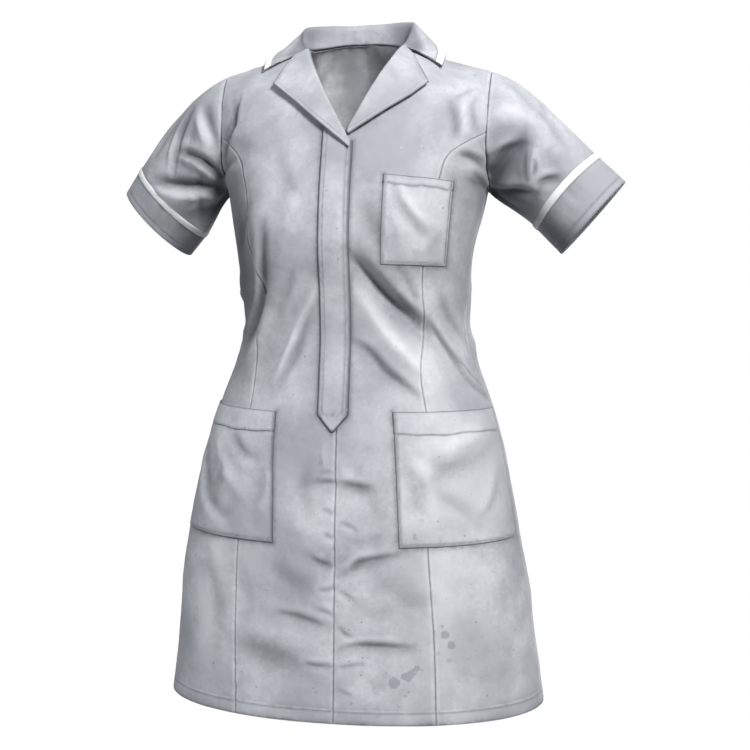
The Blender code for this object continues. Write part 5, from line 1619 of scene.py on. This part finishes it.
def makeSleeve(side, label):
    p = sleeveForm
    mirror = np.array([side, 1.0, 1.0])
    around, long, step = 2.0 * math.pi * p["ring"], p["length"], p["step"]
    near = [around * p["underarmSeam"] / 360.0 + d for d in (-0.0024, -0.0010, 0.0, 0.0010, 0.0024)]
    turn = spacing(around, step, near)[:-1] / around * 2.0 * math.pi
    share = spacing(long, step, [0.0006, 0.0014, 0.0026, long - 0.0012])[:, None] / long
    plain = plainSleeve(side, label, turn[None, :], share)
    outward = ringSheet(plain)["normal"]
    reach = np.linalg.norm(plain[-1] - plain[0], axis=-1).mean()
    rows = [(a, b * reach, c, d * reach, w, depth) for a, b, c, d, w, depth in p["broad"][label]]
    broad = broadFolds(rows, turn[None, :], share * reach, p["radius"]) * ease(share / 0.1)
    surface = lambda turned, at: plainSleeve(side, label, turned, at)
    fine = p["strength"] * creaseLift(p["creases"][label] + p["creases"]["both"], surface, plain, outward)
    fine = fine * ease(share / 0.04) * ease((1.0 - share) / 0.02)
    grime = grimeAlong(p["grime"][label] + p["grime"]["both"], surface, plain, outward)
    ripple = rippleLift(plain * mirror) * ease(share / 0.08)
    grid = plain + outward * (broad + fine + ripple)[..., None]
    # the last rows run on under the tape
    steps = np.array([p["underTape"], 0.5 * p["tapeWidth"]])[:, None]
    over = ringAt(label, turn[None, :], steps)
    over = over + (grid[-1] - plain[-1])[None] * np.array([0.6, 0.2])[:, None, None]
    fine = np.concatenate([fine + 0.5 * broad, np.zeros((2, len(turn)))])
    grime = np.concatenate([grime, grime[-1:], grime[-1:]])
    sheet = ringSheet(np.concatenate([grid, over]) * mirror, fine=fine, grime=grime)
    seam(sheet, sheet["gaps"]["bottom"], dark=0.30, sink=0.4)
    underarm(sheet)
    stitchGroove(sheet, fromSeam(turn), dark=0.60)
    piece = cutAndSew("sleeve_" + label, sheet, sewing["cloth"], dressCloth, litInsideCloth)
    sewDown(piece)
    folded = sheet["grid"][-2] - ringAt(label, turn, p["underTape"]) * mirror

    # painted shade below the arm and all over, for the cuff and its tape
    below, middle, spread, shadeAllOver = p["cuffShade"][label]
    below = below * bell(np.degrees(turn)[None, :] - middle, spread)
    makeCuff(mirror, label, turn, below, shadeAllOver)
    tapeSleeve(mirror, label, turn, below, folded)


def makeCuff(mirror, label, turn, below, shadeAllOver):
    # folded at its edge, with a turning inside
    p = sleeveForm
    tape, edge = (np.array(place) for place in p["arms"][label][:2])
    reach, half = np.linalg.norm(edge - tape), 0.5 * p["tapeWidth"]
    stitchAt = reach - p["cuffStitch"]
    outside = spacing(reach, 0.0032, [0.0015, half, stitchAt - 0.0010, stitchAt, stitchAt + 0.0010,
                                      reach - 0.0006, reach - 0.0016])
    outside = outside[outside >= half - 1e-6]
    inside = np.linspace(reach - 0.0015, 0.0060, 10)
    past = np.concatenate([outside, [reach + 0.0005, reach + 0.0005, reach], inside])[:, None]
    lift = [0.0 * outside + 0.0004, [-0.0002, -0.0012, -0.0019], 0.0 * inside - 0.0019]
    lift = np.concatenate(lift)[:, None]
    sheet = ringSheet(ringAt(label, turn[None, :], past, lift) * mirror)
    count = len(outside)
    sheet["normal"][count - 1:] = sheet["normal"][count - 2]
    drag = 0.0
    for degrees, width, amount in p["cuffDrags"][label]:
        away = (np.degrees(turn)[None, :] - degrees + 180.0) % 360.0 - 180.0
        drag = drag + amount * bell(away, width) * np.exp(-past / 0.018)
    sheet["lift"] += (rippleLift(sheet["grid"], 0.75) + drag) * ease(past / 0.006)
    outer = (np.arange(len(past)) < count)[:, None]
    stitchGroove(sheet, np.where(outer, stitchAt - past, 1.0), dark=0.55)
    stitchGroove(sheet, np.where(outer, fromSeam(turn), 1.0), dark=0.60)
    # darker along the folded edge and beside the tape; painted shade in the drags' troughs, below the arm and
    # all over
    atLeast(sheet, "dirtAndShade", 0.45 * bell(reach - past, 0.0014) * outer)
    atLeast(sheet, "dirtAndShade", 0.40 * bell(past - p["tapeWidth"], 0.0012) * outer)
    atLeast(sheet, "dirtAndShade", np.clip(-drag / 0.004, 0.0, 0.35) * outer)
    sheet["grime"] = sheet["grime"] + (shadeAllOver + below) * outer
    piece = cutAndSew("cuff_" + label, sheet, p["cuffCloth"], dressCloth)
    row = int(np.abs(outside - stitchAt).argmin())
    loop = np.append(np.arange(len(turn)), 0)
    runs = [(sheet["grid"][row, loop], sheet["normal"][row, loop])]
    sewDown(piece, runs=runs, lift=0.0005)


def tapeSleeve(mirror, label, turn, below, folded):
    # white tape over the seam of sleeve and cuff
    p = sleeveForm
    width = p["tapeWidth"]
    over = np.array([-0.0002, 0.0004, 0.0030, 0.0055, 0.0080, width - 0.0004, width])[:, None]
    proud = np.array([0.0004, 0.0013, 0.0016, 0.0017, 0.0016, 0.0013, 0.0004])[:, None]
    sheet = ringSheet(ringAt(label, turn[None, :], over, proud) * mirror)
    sheet["grid"] = sheet["grid"] + 0.7 * folded[None]
    # darker along its edges, and painted shade below the arm
    atLeast(sheet, "dirtAndShade", 0.35 * bell(np.minimum(over, width - over), 0.0006))
    atLeast(sheet, "dirtAndShade", 0.8 * below)
    piece = cutAndSew("sleeve_tape_" + label, sheet, p["tapeThick"], whiteTape)
    sewDown(piece)


for side, label in ((1, "left"), (-1, "right")):
    makeSleeve(side, label)
print("dress: sleeves and cuffs set in")


# floor, light and camera

studio = {
    "floorHeight": -1.60, "floorSize": 2.8,
    "floorColour": (0.80, 0.80, 0.81, 1.0),
    "airAbove": (0.15, 0.153, 0.158, 1.0), "airBelow": (0.04, 0.04, 0.042, 1.0),       # lights the dress
    "backdrop": (1.0, 1.0, 1.0, 1.0),                           # what is seen behind it
    # name, place, aimed at, size, watts, colour
    "lamps": [
        ("key_light", (1.52, -1.81, 1.45), (0.0, 0.0, -0.40), 0.9, 130.0, (1.0, 0.99, 0.98)),
        ("left_light", (-2.47, -1.54, 0.33), (0.0, 0.0, -0.45), 1.0, 34.0, (0.96, 0.98, 1.0)),
        ("back_light", (0.5, 2.70, 0.30), (0.0, 0.0, -0.45), 1.2, 58.0, (0.97, 0.98, 1.0)),
    ],
    "cameraPlace": (0.4112, -2.0385, -0.2722),
    "cameraTurn": (85.01, 0.0, 10.711),             # degrees
    "cameraView": 28.73,                            # degrees across
}


def lampAt(name, place, target, size, watts, colour):
    lamp = bpy.data.lights.new(name, "AREA")
    lamp.shape = "DISK"
    lamp.size = size
    lamp.energy = watts
    lamp.color = colour
    holder = putIn(name, lamp)
    holder.location = place
    holder.rotation_euler = (Vector(target) - Vector(place)).to_track_quat("-Z", "Y").to_euler()


def setStudio():
    s = studio
    half = 0.5 * s["floorSize"]
    mesh = bpy.data.meshes.new("floor")
    corners = [(-half, -half), (half, -half), (half, half), (-half, half)]
    mesh.from_pydata([(x, y, s["floorHeight"]) for x, y in corners], [], [(0, 1, 2, 3)])
    material, tree, shader = newFinish("pale_floor")
    fit(tree, shader, Base_Color=s["floorColour"], Roughness=0.9)
    seenWhite(tree, shader, s["backdrop"], "Material Output", "ShaderNodeEmission")
    mesh.materials.append(material)
    putIn("floor", mesh)

    world = bpy.data.worlds.new("soft_white_room")
    world.use_nodes = True
    tree = world.node_tree
    direction = tree.nodes.new("ShaderNodeTexCoord").outputs["Generated"]
    way = node(tree, "ShaderNodeSeparateXYZ", Vector=direction)
    above = between(tree, way.outputs["Z"], -0.6, 0.9)
    air = fit(tree, tree.nodes["Background"], Color=mixColour(tree, above, s["airBelow"], s["airAbove"]))
    seenWhite(tree, air, s["backdrop"], "World Output", "ShaderNodeBackground")
    bpy.context.scene.world = world
    for lamp in s["lamps"]:
        lampAt(*lamp)

    camera = bpy.data.cameras.new("camera")
    camera.sensor_width = 36.0
    camera.angle = math.radians(s["cameraView"])
    holder = putIn("camera", camera)
    holder.location = s["cameraPlace"]
    holder.rotation_euler = [math.radians(a) for a in s["cameraTurn"]]
    bpy.context.scene.camera = holder
    bpy.context.scene.view_settings.view_transform = "Standard"


setStudio()
print("dress: studio set up")
